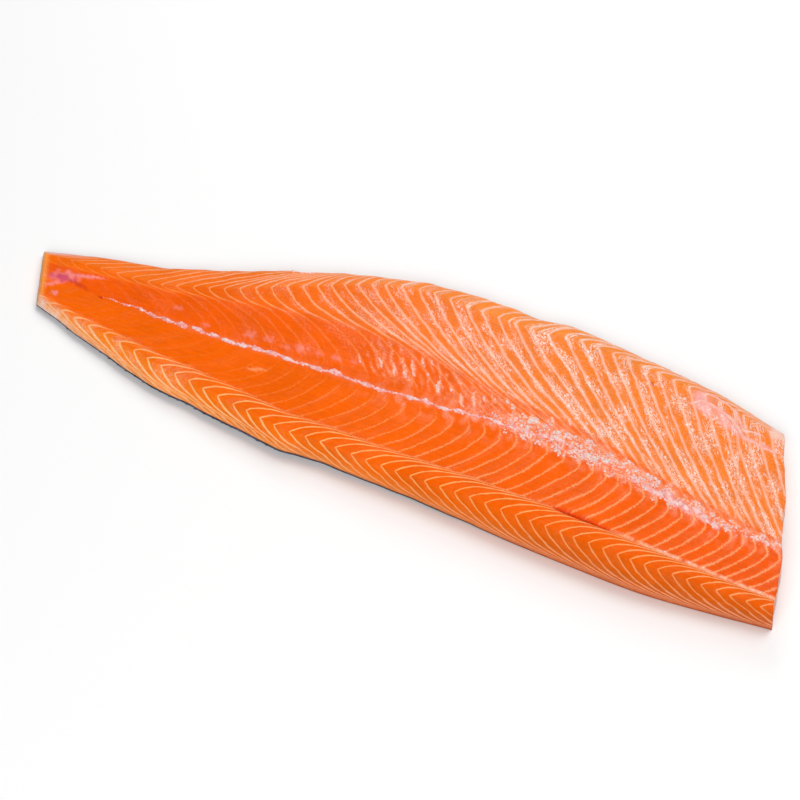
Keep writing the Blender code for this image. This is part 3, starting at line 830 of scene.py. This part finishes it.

# %% [markdown]
# ## Finish of the flesh
#
# The material reads the flake number. Halfway between two whole numbers lies a fat line, and the
# stored spacing turns "how far from halfway" into millimetres, so a line keeps its width however
# crowded the flakes are. Noise bends the lines a little and gives them teeth. The muscle between two
# lines has fine fibres. White glints are painted into the colour as painted highlights, and a thin wet
# coat, strongest on the same spots, does the rest.

# %% Wet flesh finish
def flesh_finish():
    material, g = new_finish("wet_flesh")

    def stored(name):
        return g.node("ShaderNodeAttribute", {"attribute_name": name}, out=2)

    where = g.node("ShaderNodeTexCoord", out=3)
    flake_at, gap = stored("flake"), stored("gap")
    width, strength, teeth = stored("width"), stored("strength"), stored("teeth")
    wander = (g.noise(where, 55.0, 2.0) - 0.5) * 0.30 + (g.noise(where, 260.0, 2.0) - 0.5) * 0.10
    away = abs((flake_at + wander).math("FRACT") - 0.5) * gap
    tooth = (g.noise(where, 750.0, 3.0, 0.65) - 0.5) * teeth * 2.4
    uneven = g.noise(where, 130.0, 2.0).ramp(0.3, 0.7, 0.72, 1.2)
    half = (width * uneven).math("MINIMUM", gap * 0.45) * 0.5
    reach = (away + tooth) / half
    line = reach.ramp(0.55, 1.35, 1.0, 0.0) * strength
    line = line * g.noise(where, 95.0, 2.0).ramp(0.28, 0.6, 0.72, 1.0)
    halo = reach.ramp(1.0, 3.0, 0.12, 0.0) * strength * teeth.ramp(0.3, 0.9, 0.4, 1.3)

    fibre_place = g.node("ShaderNodeMapping", {}, {"Vector": where, "Scale": (70.0, 620.0, 620.0)})
    fibre = g.noise(fibre_place, 1.0, 3.0, 0.6).ramp(0.25, 0.75, 0.93, 1.06)
    cloud = g.noise(where, 38.0, 3.0, 0.55).ramp(0.25, 0.75, 0.93, 1.06)
    tone = g.node("ShaderNodeVectorMath", {"operation": "SCALE"},
                  {0: g.node("ShaderNodeAttribute", {"attribute_name": "meat"}), "Scale": fibre * cloud})
    mottle = g.noise(where, 420.0, 3.0, 0.65).ramp(0.45, 0.72, 0.0, 0.06)
    fat_colour = g.node("ShaderNodeAttribute", {"attribute_name": "fat"})
    tone = g.mix(mottle, tone, fat_colour)
    base = g.mix(halo, tone, fat_colour)
    base = g.mix(line, base, fat_colour)

    x, y = (g.node("ShaderNodeSeparateXYZ", {}, [where], out=k) for k in (0, 1))
    grain_place = g.node("ShaderNodeCombineXYZ", {}, [flake_at * 9.0, x * 260.0 - y * 210.0, 0.0])
    patch_place = g.node("ShaderNodeCombineXYZ", {}, [flake_at * 1.1, x * 24.0 - y * 20.0, 5.0])
    # Where white glints are painted: streaks along the fat lines and single grains, both in patches.
    glint_amount_here = stored("glint_amount")
    patches = g.noise(patch_place, 1.0, 3.0, 0.6).ramp(0.455, 0.60)
    glints = g.noise(grain_place, 1.0, 3.0, 0.65).ramp(0.51, 0.62)
    grains = g.noise(where, 1400.0, 2.0, 0.6).ramp(0.53, 0.62)
    glint_spots = glints.math("MAXIMUM", grains) * (patches * 0.88 + 0.12) * glint_amount_here
    # Painted highlights: the glints are white in the base colour, and the coat over them is raised too.
    base = g.mix(glint_spots, base, colour((255, 246, 240)))
    # Curd colour, and the glints painted at the tufts, ribs and crease, which share the curd mask.
    curd_and_glint_here = stored("froth")
    curd_grain = g.noise(where, 520.0, 3.0, 0.65).ramp(0.48, 0.6)
    base = g.mix(curd_and_glint_here * curd_grain * 0.85, base, colour((255, 214, 204)))

    height = away.ramp(0.0, 2.6) * strength * 0.5 + g.noise(where, 900.0, 3.0, 0.6) * 0.35 \
        + glint_spots * 0.35 + g.noise(where, 210.0, 2.0) * 0.6
    bump = g.node("ShaderNodeBump", {}, {"Strength": 0.4, "Distance": 0.0006, "Height": height})
    gloss = g.noise(where, 300.0, 2.0).ramp(0.3, 0.7, 0.26, 0.42)
    wet = glint_spots * 0.9 + curd_and_glint_here * curd_grain * 0.3 + 0.005
    close_finish(g, {"Base Color": base, "Roughness": gloss, "Normal": bump, "Specular IOR Level": 0.02,
                     "Coat Weight": wet, "Coat Roughness": 0.18, "Subsurface Weight": 0.12,
                     "Subsurface Radius": (1.0, 0.35, 0.15), "Subsurface Scale": 0.0015})
    return material


flesh_material = flesh_finish()
print("flesh finish:", len(flesh_material.node_tree.nodes), "nodes")

# %% [markdown]
# ## Relief by geometry nodes
#
# Cut muscle isn't flat between its fat lines: each flake swells a little. Moving more than ninety
# thousand points by hand-written rules would hide the idea, so a small geometry tree does it. It reads
# the same flake numbers as the finish, so the swelling and the drawn lines can't drift apart.

# %% Swell the flakes
def geometry_tree(name, inputs):
    """A new geometry tree with named inputs. Returns the graph and a wire for each input."""
    tree = bpy.data.node_groups.new(name, "GeometryNodeTree")
    tree.interface.new_socket("Geometry", in_out="INPUT", socket_type="NodeSocketGeometry")
    for label, (kind, _) in inputs.items():
        tree.interface.new_socket(label, in_out="INPUT", socket_type="NodeSocket" + kind)
    tree.interface.new_socket("Geometry", in_out="OUTPUT", socket_type="NodeSocketGeometry")
    graph = Graph(tree)
    entry = tree.nodes.new("NodeGroupInput")
    wires = {socket.name: Wire(graph, socket) for socket in entry.outputs if socket.name}
    return graph, wires


def run_tree(graph, holder, inputs, name):
    """Run a geometry tree on an object and keep the result as a plain mesh object of its own."""
    modifier = holder.modifiers.new(name, "NODES")
    modifier.node_group = graph.tree
    for item in graph.tree.interface.items_tree:
        if item.in_out == "INPUT" and item.name in inputs:
            modifier[item.identifier] = inputs[item.name][1]
    bpy.context.view_layer.update()
    view = bpy.context.evaluated_depsgraph_get()
    mesh = bpy.data.meshes.new_from_object(holder.evaluated_get(view), preserve_all_data_layers=True,
                                           depsgraph=view)
    holder.modifiers.remove(modifier)
    mesh.name = name
    piece = bpy.data.objects.new(name, mesh)
    bpy.context.scene.collection.objects.link(piece)
    return piece


def close_tree(g, geometry, material):
    """End a geometry tree the way the export needs: instances made real, then the material."""
    real = g.node("GeometryNodeRealizeInstances", {}, [geometry])
    dressed = g.node("GeometryNodeSetMaterial", {}, {"Geometry": real, "Material": material})
    g.node("NodeGroupOutput", {}, [dressed])


def stored_number(g, name):
    return g.node("GeometryNodeInputNamedAttribute", {"data_type": "FLOAT"}, {"Name": name})


relief_inputs = {"Swell": ("Float", 0.30 * MM), "Lumps": ("Float", 0.35 * MM), "Curd": ("Float", 0.5 * MM),
                 "Material": ("Material", flesh_material)}
g, wire = geometry_tree("flake_relief", relief_inputs)
away = abs(stored_number(g, "flake").math("FRACT") - 0.5) * stored_number(g, "gap")
roof = stored_number(g, "gap").ramp(2.0, 8.0)
strength = stored_number(g, "strength")
swell = away.ramp(0.2, 3.2) * roof * strength * wire["Swell"]
place = g.node("GeometryNodeInputPosition")
lumps = (g.noise(place, 90.0, 2.0) - 0.5) * wire["Lumps"]
curd_and_glint_here = (g.noise(place, 420.0, 2.0) - 0.35) * stored_number(g, "froth") * wire["Curd"] * 2.0
rise = (swell + lumps + curd_and_glint_here) * stored_number(g, "relief")
push = g.node("ShaderNodeVectorMath", {"operation": "SCALE"},
              {0: g.node("GeometryNodeInputNormal"), "Scale": rise})
moved = g.node("GeometryNodeSetPosition", {}, {"Geometry": wire["Geometry"], "Offset": push})
close_tree(g, moved, wire["Material"])
flesh = run_tree(g, raw_flesh, relief_inputs, "flesh_side")
bpy.data.objects.remove(raw_flesh)
flesh_size = np.array([v.co for v in flesh.data.vertices])
print("flesh box, mm:", np.round((flesh_size.max(0) - flesh_size.min(0)) / MM, 1),
      "| attributes:", [a.name for a in flesh.data.attributes if not a.name.startswith(".")])

# %% [markdown]
# ## Skin
#
# The fillet still has its skin: nearly black on the back, silver along the side and white on the
# belly. It turns up at both long edges, where it shows as a dark strip below the flesh.

# %% Skin sheet
SKIN_ROWS = 241
SCALE_ROOM = 0.4
skin_shares = np.linspace(0.0, 1.0, SKIN_ROWS)
outer = stand(skin_shares[:, None], skin_section(skin_shares, SCALE_ROOM, 6, 26))
inner = stand(skin_shares[:, None], skin_section(skin_shares, SKIN_THICKNESS, 6, 26))


def closed_sheet(name, low_grid, high_grid):
    """Close a sheet between two grids of points of the same size."""
    rows, wide = low_grid.shape[:2]
    total = rows * wide

    def at(layer, i, j):
        return layer * total + i * wide + j

    faces = [(at(1, i, j), at(1, i, j + 1), at(1, i + 1, j + 1), at(1, i + 1, j))
             for i in range(rows - 1) for j in range(wide - 1)]
    faces += [(at(0, i, j), at(0, i + 1, j), at(0, i + 1, j + 1), at(0, i, j + 1))
              for i in range(rows - 1) for j in range(wide - 1)]
    for j in (0, wide - 1):
        faces += [(at(0, i, j), at(1, i, j), at(1, i + 1, j), at(0, i + 1, j)) for i in range(rows - 1)]
    for i in (0, rows - 1):
        faces += [(at(0, i, j), at(0, i, j + 1), at(1, i, j + 1), at(1, i, j)) for j in range(wide - 1)]
    return build(name, seat(np.concatenate([low_grid.reshape(-1, 3), high_grid.reshape(-1, 3)])), faces)


def across_share(points, grid_share):
    """0 at the back edge and 1 at the belly edge, for any points in mm."""
    back, belly = along(BACK_EDGE, grid_share), along(BELLY_EDGE, grid_share)
    return np.clip((points[..., 1] - back) / (belly - back), 0, 1)


skin = closed_sheet("skin_sheet", outer, inner)
skin_across = across_share(outer, skin_shares[:, None]).ravel()
mark(skin, "across", np.concatenate([skin_across, skin_across]))
raw_edge = np.zeros(outer.shape[:2])
raw_edge[:, -3:] = smooth(skin_shares, 0.55, 0.72)[:, None]
mark(skin, "raw_edge", np.concatenate([raw_edge.ravel(), raw_edge.ravel()]))
print("skin:", len(skin.data.polygons), "faces")

# %% Wet skin finish
def skin_finish(name, glint):
    material, g = new_finish(name)
    across = g.node("ShaderNodeAttribute", {"attribute_name": "across"}, out=2)
    where = g.node("ShaderNodeTexCoord", out=3)
    shifted = across + (g.noise(where, 30.0, 3.0) - 0.5) * 0.16
    back_tone = g.mix(g.noise(where, 160.0, 3.0).ramp(0.35, 0.65), colour((38, 43, 64)), colour((84, 92, 122)))
    side_tone = g.mix(g.noise(where, 240.0, 2.0).ramp(0.3, 0.7), colour((132, 140, 152)), colour((182, 188, 196)))
    tone = g.mix(shifted.ramp(0.16, 0.52), back_tone, side_tone)
    tone = g.mix(shifted.ramp(0.52, 0.86), tone, colour((222, 222, 220)))
    spots = g.node("ShaderNodeTexVoronoi", {"feature": "F1"}, {"Vector": where, "Scale": 62.0})
    dark = spots.ramp(0.12, 0.2, 1.0, 0.0) * across.ramp(0.30, 0.55, 0.85, 0.0)
    tone = g.mix(dark, tone, colour((16, 17, 22)))
    raw = g.node("ShaderNodeAttribute", {"attribute_name": "raw_edge"}, out=2)
    tone = g.mix(raw, tone, colour((204, 104, 60)))
    bump = g.node("ShaderNodeBump", {}, {"Strength": 0.25, "Distance": 0.0003, "Height": g.noise(where, 800.0, 2.0)})
    close_finish(g, {"Base Color": tone, "Roughness": g.noise(where, 350.0, 2.0).ramp(0.3, 0.7, 0.26, 0.42),
                     "Metallic": across.ramp(0.2, 0.7, 0.0, glint) * (1.0 - raw), "Normal": bump,
                     "Specular IOR Level": 0.2, "Coat Weight": across.ramp(0.1, 0.6, 0.1, 0.4),
                     "Coat Roughness": 0.12})
    return material


skin_material = skin_finish("wet_skin", 0.35)
skin.data.materials.append(skin_material)
print("skin finish:", len(skin_material.node_tree.nodes), "nodes")

# %% [markdown]
# ## Scales
#
# Salmon scales are thin, round and about five millimetres wide. They overlap towards the tail like
# roof tiles, and they are smaller where the skin turns up at the edges. One low-poly scale is placed on
# every point of a staggered net that hugs the skin. That is what instances are for: the tree tilts,
# turns and sizes each copy, and only then are they made real.

# %% One scale and the net it repeats on
SCALE_LENGTH, SCALE_WIDTH, SCALE_LIFT = 5.6, 4.6, 0.14
EDGE_BARE = 4.5


def scale_shape():
    """A thin closed lens with a rounded free edge towards the tail, a little proud at that edge."""
    rim = [(-0.62 * np.cos(a), 0.5 * np.sin(a), 1.0) for a in np.linspace(-1.25, 1.25, 6)]
    ring = [(x * SCALE_LENGTH, y * SCALE_WIDTH, z * SCALE_LIFT) for x, y, z in rim]
    root = [(0.42 * SCALE_LENGTH, 0.36 * SCALE_WIDTH, 0.0), (0.42 * SCALE_LENGTH, -0.36 * SCALE_WIDTH, 0.0)]
    crown = (0.0, 0.0, 1.1 * SCALE_LIFT)
    points = [crown] + ring + root
    edge = range(1, len(points))
    faces = [(0, k, k % len(edge) + 1) for k in edge] + [tuple(reversed(edge))]
    return build("one_scale", np.array(points) * MM, faces)


def scale_net():
    """Staggered points on the skin's outer face, each with the face's own outward direction."""
    long_steps = 155
    net_share = 0.009 + 0.983 * (np.arange(long_steps) + 0.5) / long_steps
    section = skin_section(net_share, SCALE_ROOM, 6, 26)
    run = np.linalg.norm(np.diff(section, axis=1), axis=-1).cumsum(axis=1)
    run = np.concatenate([np.zeros((long_steps, 1)), run], axis=1)
    places, outs, sides, snugs = [], [], [], []
    for i, s in enumerate(net_share):
        total = run[i, -1]
        count = max(8, int(round((total - 2 * EDGE_BARE) / 3.1)))
        steps = EDGE_BARE + (np.arange(count) + (0.0 if i % 2 else 0.5)) / (count - 0.5) * (total - 2 * EDGE_BARE)
        y, z = np.interp(steps, run[i], section[i, :, 0]), np.interp(steps, run[i], section[i, :, 1])
        dy = np.interp(steps + 0.3, run[i], section[i, :, 0]) - np.interp(steps - 0.3, run[i], section[i, :, 0])
        dz = np.interp(steps + 0.3, run[i], section[i, :, 1]) - np.interp(steps - 0.3, run[i], section[i, :, 1])
        size = np.hypot(dy, dz)
        line = np.stack([y, z], axis=-1)[None]
        places.append(stand(np.array([[s]]), line)[0])
        outs.append(np.stack([np.zeros(count), -dz / size, dy / size], axis=-1))
        sides.append(across_share(places[-1], np.full(count, s)))
        snugs.append(np.where(z > SCALE_ROOM + 0.02, 0.55, 1.0))
    return [np.concatenate(parts) for parts in (places, outs, sides, snugs)]


net_points, net_outs, net_sides, net_snugs = scale_net()
net = bpy.data.objects.new("scale_net", bpy.data.meshes.new("scale_net"))
net.data.from_pydata((seat(net_points)).tolist(), [], [])
bpy.context.scene.collection.objects.link(net)
layer = net.data.attributes.new("out", "FLOAT_VECTOR", "POINT")
layer.data.foreach_set("vector", net_outs.ravel())
mark(net, "across", net_sides)
mark(net, "snug", net_snugs)
print("scales:", len(net_points))

# %% Lay the scales
scale = scale_shape()
scale_inputs = {"Scale": ("Object", scale), "Size spread": ("Float", 0.18), "Tilt": ("Float", 0.035),
                "Seed": ("Int", 4), "Material": ("Material", skin_finish("wet_scales", 0.45))}
g, wire = geometry_tree("scales_on_skin", scale_inputs)
upright = g.node("FunctionNodeAlignRotationToVector", {"axis": "Z"},
                 {"Vector": g.node("GeometryNodeInputNamedAttribute", {"data_type": "FLOAT_VECTOR"}, {"Name": "out"})})
headward = g.node("FunctionNodeAlignRotationToVector", {"axis": "X", "pivot_axis": "Z"},
                  {"Rotation": upright, "Vector": (1.0, 0.0, 0.0)})


def spread(g, low, high, seed, offset=0):
    """A fixed random number for each copy."""
    return g.node("FunctionNodeRandomValue", {"data_type": "FLOAT"},
                  {"Min": low, "Max": high, "Seed": seed + offset}, out=1)


wobble = g.node("FunctionNodeEulerToRotation", {}, [g.node("ShaderNodeCombineXYZ", {}, {
    "X": spread(g, -1.0, 1.0, wire["Seed"]) * wire["Tilt"], "Y": spread(g, -0.6, 0.6, wire["Seed"], 1) * wire["Tilt"],
    "Z": spread(g, -1.0, 1.0, wire["Seed"], 2) * wire["Tilt"] * 3.0})])
turned = g.node("FunctionNodeRotateRotation", {"rotation_space": "LOCAL"}, {"Rotation": headward, "Rotate By": wobble})
size = (1.0 + spread(g, -1.0, 1.0, wire["Seed"], 3) * wire["Size spread"]) * stored_number(g, "snug")
one = g.node("GeometryNodeObjectInfo", {}, {"Object": wire["Scale"]}, out=4)
laid = g.node("GeometryNodeInstanceOnPoints", {}, {"Points": wire["Geometry"], "Instance": one,
                                                  "Rotation": turned, "Scale": size})
close_tree(g, laid, wire["Material"])
scales = run_tree(g, net, scale_inputs, "skin_scales")
scales.data.shade_smooth()
for helper in (net, scale):
    bpy.data.objects.remove(helper)
print("scale mesh:", len(scales.data.polygons), "faces; attributes:", [a.name for a in scales.data.attributes][:6])

# %% [markdown]
# ## The line of the backbone
#
# Where the backbone was cut away, a thin cord of pinkish fat and nerve stays behind and breaks into
# beads. A path with a radius at each point carries the beads, so the path says how thick the cord is
# and the tree only says how beads follow it.

# %% A path on the flesh
skin_of_flesh = BVHTree.FromObject(flesh, bpy.context.evaluated_depsgraph_get())


def drop(x, y):
    """The point of the flesh straight below a place in mm, in metres, with its outward direction."""
    place = seat(np.array([[x, y, 0.0]]))[0]
    hit, normal, _, _ = skin_of_flesh.ray_cast(Vector((place[0], place[1], 0.1)), Vector((0, 0, -1)))
    return (hit, normal) if hit is not None else (None, None)


def path_on_flesh(name, routes, lift=0.0):
    """Poly curves that lie on the flesh, each along a route of (x, y, radius) in mm."""
    data = bpy.data.curves.new(name, "CURVE")
    data.dimensions = "3D"
    for route in routes:
        kept = [(drop(x, y)[0], r) for x, y, r in route if drop(x, y)[0] is not None]
        spline = data.splines.new("POLY")
        spline.points.add(len(kept) - 1)
        for point, (place, r) in zip(spline.points, kept):
            point.co, point.radius = (*(place + Vector((0, 0, lift * MM))), 1.0), r
    holder = bpy.data.objects.new(name, data)
    bpy.context.scene.collection.objects.link(holder)
    return holder


bone_x = np.arange(-236.0, 134.0, 1.5)
bone_share = np.interp(bone_x, top[:, BONE_AT, 0], shares)
bone_side = along(BACKBONE, bone_share) + 0.7 * np.sin(bone_x / 9.0) + 0.5 * np.sin(bone_x / 3.7 + 1)
full = np.interp(bone_x, (-236, -212, -178, -60, 60, 134), (0.4, 1.1, 1.7, 1.9, 1.4, 1.1))
beading = 0.68 + 0.32 * np.sin(bone_x * 2 * np.pi / 12.2 + 0.9 * np.sin(bone_x / 17.0))
breaks = 1 - 0.75 * np.exp(-((bone_x[:, None] - np.array([-163, -138, -72, -32, 2, 66])) / 2.2) ** 2).max(axis=1)
lump_route = []
for x, y, r in ((184, -26.6, 1.7), (193, -28.7, 2.0), (200, -30.4, 2.3), (209, -29.8, 2.6), (215, -32.4, 1.9),
                (221, -33.5, 2.7), (231, -32.7, 2.3), (238, -36.5, 1.8), (246, -38.8, 2.1)):
    lump_route += [(x - 2.6, y + 0.8, 0.2), (x - 1.0, y + 0.9, r), (x + 1.0, y + 0.5, r), (x + 2.6, y - 0.8, 0.2)]
bone_path = path_on_flesh("bone_path", [list(zip(bone_x, bone_side, full * beading * breaks)), lump_route])
print("backbone path:", len(bone_path.data.splines[0].points), "points")

# %% Fat finish for beads, curd and folds
def fat_finish(name, dark, light, blueish):
    material, g = new_finish(name)
    where = g.node("ShaderNodeTexCoord", out=3)
    tone = g.mix(g.noise(where, 260.0, 3.0).ramp(0.35, 0.65), colour(dark), colour(light))
    tone = g.mix(g.noise(where, 120.0, 2.0).ramp(0.52, 0.7) * blueish, tone, colour((238, 226, 240)))
    bump = g.node("ShaderNodeBump", {}, {"Strength": 0.3, "Distance": 0.0003,
                                         "Height": g.noise(where, 1400.0, 3.0)})
    close_finish(g, {"Base Color": tone, "Roughness": g.noise(where, 500.0, 2.0).ramp(0.3, 0.7, 0.2, 0.4),
                     "Normal": bump, "Specular IOR Level": 0.3, "Coat Weight": 0.2, "Coat Roughness": 0.12,
                     "Subsurface Weight": 0.2,
                     "Subsurface Radius": (1.0, 0.5, 0.35), "Subsurface Scale": 0.0012})
    return material


bead_inputs = {"Spacing": ("Float", 1.5 * MM), "Thickness": ("Float", 1.0 * MM), "Jitter": ("Float", 0.4 * MM),
               "Seed": ("Int", 11),
               "Material": ("Material", fat_finish("backbone_fat", (253, 152, 142), (255, 208, 204), 0.0))}
g, wire = geometry_tree("beads_on_path", bead_inputs)
spaced = g.node("GeometryNodeCurveToPoints", {"mode": "LENGTH"}, {"Curve": wire["Geometry"], "Length": wire["Spacing"]})
turn = g.node("FunctionNodeEulerToRotation", {}, [g.node("ShaderNodeCombineXYZ", {}, {
    "Z": spread(g, -0.9, 0.4, wire["Seed"])})])
thick = g.node("GeometryNodeInputRadius") * wire["Thickness"] * spread(g, 0.75, 1.25, wire["Seed"], 1)
bead = g.node("GeometryNodeMeshIcoSphere", {}, {"Radius": 1.0, "Subdivisions": 2})
shape = g.node("ShaderNodeCombineXYZ", {}, {"X": thick * 1.9, "Y": thick, "Z": thick * 0.42})
side = g.node("ShaderNodeCombineXYZ", {}, {"X": spread(g, -1.0, 1.0, wire["Seed"], 2) * wire["Jitter"],
                                           "Y": spread(g, -1.0, 1.0, wire["Seed"], 3) * wire["Jitter"]})
shaken = g.node("GeometryNodeSetPosition", {}, {"Geometry": spaced, "Offset": side})
beads = g.node("GeometryNodeInstanceOnPoints", {}, {"Points": shaken, "Instance": bead, "Rotation": turn,
                                                   "Scale": shape})
close_tree(g, beads, wire["Material"])
backbone = run_tree(g, bone_path, bead_inputs, "backbone_fat")
backbone.data.shade_smooth()
bpy.data.objects.remove(bone_path)
print("backbone beads:", len(backbone.data.polygons), "faces")

# %% [markdown]
# ## Curd
#
# Towards the head the cord spreads into a loose whitish curd: hundreds of small grains of fat and
# protein. They are scattered by a density that is already stored on the flesh.

# %% Scatter the curd
curd_inputs = {"Density": ("Float", 760000.0), "Grain": ("Float", 0.7 * MM), "Seed": ("Int", 3),
               "Material": ("Material", fat_finish("curd_fat", (255, 186, 176), (255, 232, 226), 0.0))}
g, wire = geometry_tree("curd_on_flesh", curd_inputs)
weight = stored_number(g, "froth").ramp(0.25, 0.9)
clump = g.noise(g.node("GeometryNodeInputPosition"), 210.0, 2.0).ramp(0.44, 0.62)
scatter = g.tree.nodes.new("GeometryNodeDistributePointsOnFaces")
g.tree.links.new(wire["Geometry"].socket, scatter.inputs["Mesh"])
g.tree.links.new((weight * clump * wire["Density"]).socket, scatter.inputs["Density"])
g.tree.links.new(wire["Seed"].socket, scatter.inputs["Seed"])
grain = g.node("GeometryNodeMeshIcoSphere", {}, {"Radius": 1.0, "Subdivisions": 1})
big = spread(g, 0.55, 1.5, wire["Seed"], 5) * wire["Grain"]
grains = g.node("GeometryNodeInstanceOnPoints", {}, {
    "Points": Wire(g, scatter.outputs["Points"]), "Instance": grain, "Rotation": Wire(g, scatter.outputs["Rotation"]),
    "Scale": g.node("ShaderNodeCombineXYZ", {}, {"X": big * 1.3, "Y": big, "Z": big * 0.45})})
close_tree(g, grains, wire["Material"])
curd_grains = run_tree(g, flesh, curd_inputs, "head_curd")
curd_grains.data.shade_smooth()
print("curd:", len(curd_grains.data.polygons), "faces")

# %% [markdown]
# ## Membrane
#
# A thin skin lines the belly cavity. Near the head the knife has rolled it up into pale folds, and a few
# shreds of it hang on the flap's edge. A fold is a soft uneven cord: a circle swept along a path, with
# the path's radius for its thickness, then dented by noise.

# %% Sweep the folds
FOLDS = (
    ((196.5, 56.5, 0.5), (200.5, 60.0, 0.9), (204.5, 64.0, 1.2), (209.0, 63.0, 1.3), (214.0, 62.0, 1.1),
     (219.5, 60.5, 1.2), (225.0, 59.0, 1.0), (229.5, 56.0, 1.1), (234.0, 52.5, 1.2), (238.0, 48.0, 1.1),
     (241.5, 44.0, 1.2), (249.0, 44.0, 1.0), (258.0, 42.0, 0.8), (269.0, 42.5, 0.5)),
    ((203.5, 71.5, 0.4), (210.0, 72.0, 0.7), (216.0, 71.0, 0.8), (223.5, 68.5, 0.7), (230.5, 64.5, 0.9),
     (235.5, 57.0, 0.8), (239.5, 50.5, 0.9), (246.5, 52.5, 0.8), (254.0, 53.5, 0.5)),
)
shred_x = np.arange(-119.0, -100.0, 1.5)
shred_y = np.interp(shred_x, top[:, BELLY_RIM_AT, 0], top[:, BELLY_RIM_AT, 1]) - 0.4 + 0.7 * np.sin(shred_x * 1.1)
shred = list(zip(shred_x, shred_y, 0.55 + 0.35 * np.sin(shred_x * 0.9)))
fold_inputs = {"Step": ("Float", 0.6 * MM), "Thickness": ("Float", 1.7 * MM), "Dent": ("Float", 1.5 * MM),
               "Material": ("Material", fat_finish("membrane_fat", (253, 172, 156), (254, 194, 178), 0.0))}
g, wire = geometry_tree("folds_on_path", fold_inputs)
stepped = g.node("GeometryNodeResampleCurve", {"mode": "LENGTH"}, {"Curve": wire["Geometry"], "Length": wire["Step"]})
ring = g.node("GeometryNodeCurvePrimitiveCircle", {}, {"Resolution": 9, "Radius": 1.0})
swept = g.node("GeometryNodeCurveToMesh", {}, {
    "Curve": stepped, "Profile Curve": ring, "Fill Caps": True,
    "Scale": g.node("GeometryNodeInputRadius") * wire["Thickness"]})
dents = g.node("ShaderNodeVectorMath", {"operation": "SUBTRACT"}, {
    0: g.noise(g.node("GeometryNodeInputPosition"), 260.0, 3.0, out=1), 1: (0.5, 0.5, 0.5)})
dented = g.node("GeometryNodeSetPosition", {}, {
    "Geometry": swept, "Offset": g.node("ShaderNodeVectorMath", {"operation": "SCALE"}, {0: dents, "Scale": wire["Dent"]})})
close_tree(g, dented, wire["Material"])
fold_path = path_on_flesh("fold_path", [*FOLDS, shred], -0.9)
folds = run_tree(g, fold_path, fold_inputs, "membrane_folds")
folds.data.shade_smooth()
bpy.data.objects.remove(fold_path)
print("membrane folds:", len(folds.data.polygons), "faces")

# %% [markdown]
# ## Camera, light and floor
#
# The fillet is seen from in front of its back edge and well above. Light comes from a large soft lamp
# high behind, which gives the steep back edge its shade on top of the shade painted into its colours,
# from a second in front that lifts that shade, and from a small lower one behind, which only the tilted
# flap mirrors. That one makes the flap sparkle, together with the glints painted into its colour, while
# the loin stays deep orange.

# %% Camera
AZIMUTH, ELEVATION = np.radians(23.1416), np.radians(55.0)
aim = Vector((0.00101 * cad_length, -0.0512 * cad_width, 0.0))
back_off = Vector((np.sin(AZIMUTH) * np.cos(ELEVATION), -np.cos(AZIMUTH) * np.cos(ELEVATION), np.sin(ELEVATION)))
lens = bpy.data.cameras.new("view")
lens.lens, lens.sensor_width = 85.55, 36.0
camera = bpy.data.objects.new("view", lens)
camera.location = aim + back_off * (2.27355 * cad_length)
camera.rotation_mode = "QUATERNION"
camera.rotation_quaternion = (-back_off).to_track_quat("-Z", "Y")
bpy.context.scene.collection.objects.link(camera)
bpy.context.scene.camera = camera
print("camera", [round(value, 3) for value in camera.location])

# %% Light and floor
def soft_lamp(name, direction, distance, size, power, tint=(1.0, 1.0, 1.0)):
    """A square lamp that faces the fillet from a direction."""
    lamp = bpy.data.lights.new(name, "AREA")
    lamp.energy, lamp.size, lamp.color = power, size, tint
    holder = bpy.data.objects.new(name, lamp)
    out = Vector(direction).normalized()
    holder.location = out * distance
    holder.rotation_mode = "QUATERNION"
    holder.rotation_quaternion = (-out).to_track_quat("-Z", "Y")
    bpy.context.scene.collection.objects.link(holder)
    return holder


soft_lamp("key", (0.3, 0.4, 1.0), 2.6, 1.6, 34.0)
soft_lamp("flap_sparkle", (-0.225, 0.762, 0.606), 1.6, 0.5, 5.0)
soft_lamp("fill", (0.1, -0.9, 0.7), 2.4, 1.4, 28.0)
world = bpy.data.worlds.new("studio")
world.use_nodes = True
world.node_tree.nodes["Background"].inputs["Color"].default_value = (1.0, 1.0, 1.0, 1.0)
world.node_tree.nodes["Background"].inputs["Strength"].default_value = 0.25
bpy.context.scene.world = world
bpy.context.scene.view_settings.view_transform = "Standard"

floor_mesh = bpy.data.meshes.new("floor")
floor_mesh.from_pydata([(-8, -8, 0), (8, -8, 0), (8, 8, 0), (-8, 8, 0)], [], [(0, 1, 2, 3)])
floor = bpy.data.objects.new("floor", floor_mesh)
bpy.context.scene.collection.objects.link(floor)
floor_material, g = new_finish("pale_floor")
close_finish(g, {"Base Color": (0.97, 0.97, 0.97, 1.0), "Roughness": 0.9, "Specular IOR Level": 0.1})
floor_mesh.materials.append(floor_material)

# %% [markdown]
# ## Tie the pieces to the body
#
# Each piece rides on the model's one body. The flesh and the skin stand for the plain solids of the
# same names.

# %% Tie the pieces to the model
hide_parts("flesh")
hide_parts("skin")
for piece, slot in ((flesh, "flesh"), (skin, "skin"), (scales, "skin"), (backbone, "flesh"),
                    (curd_grains, "flesh"), (folds, "flesh")):
    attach(piece, "root")
for piece in (flesh, skin, scales, backbone, curd_grains, folds):
    spots = np.array([piece.matrix_world @ v.co for v in piece.data.vertices])
    print(piece.name, "from", np.round(spots.min(0) / MM, 2), "to", np.round(spots.max(0) / MM, 2))
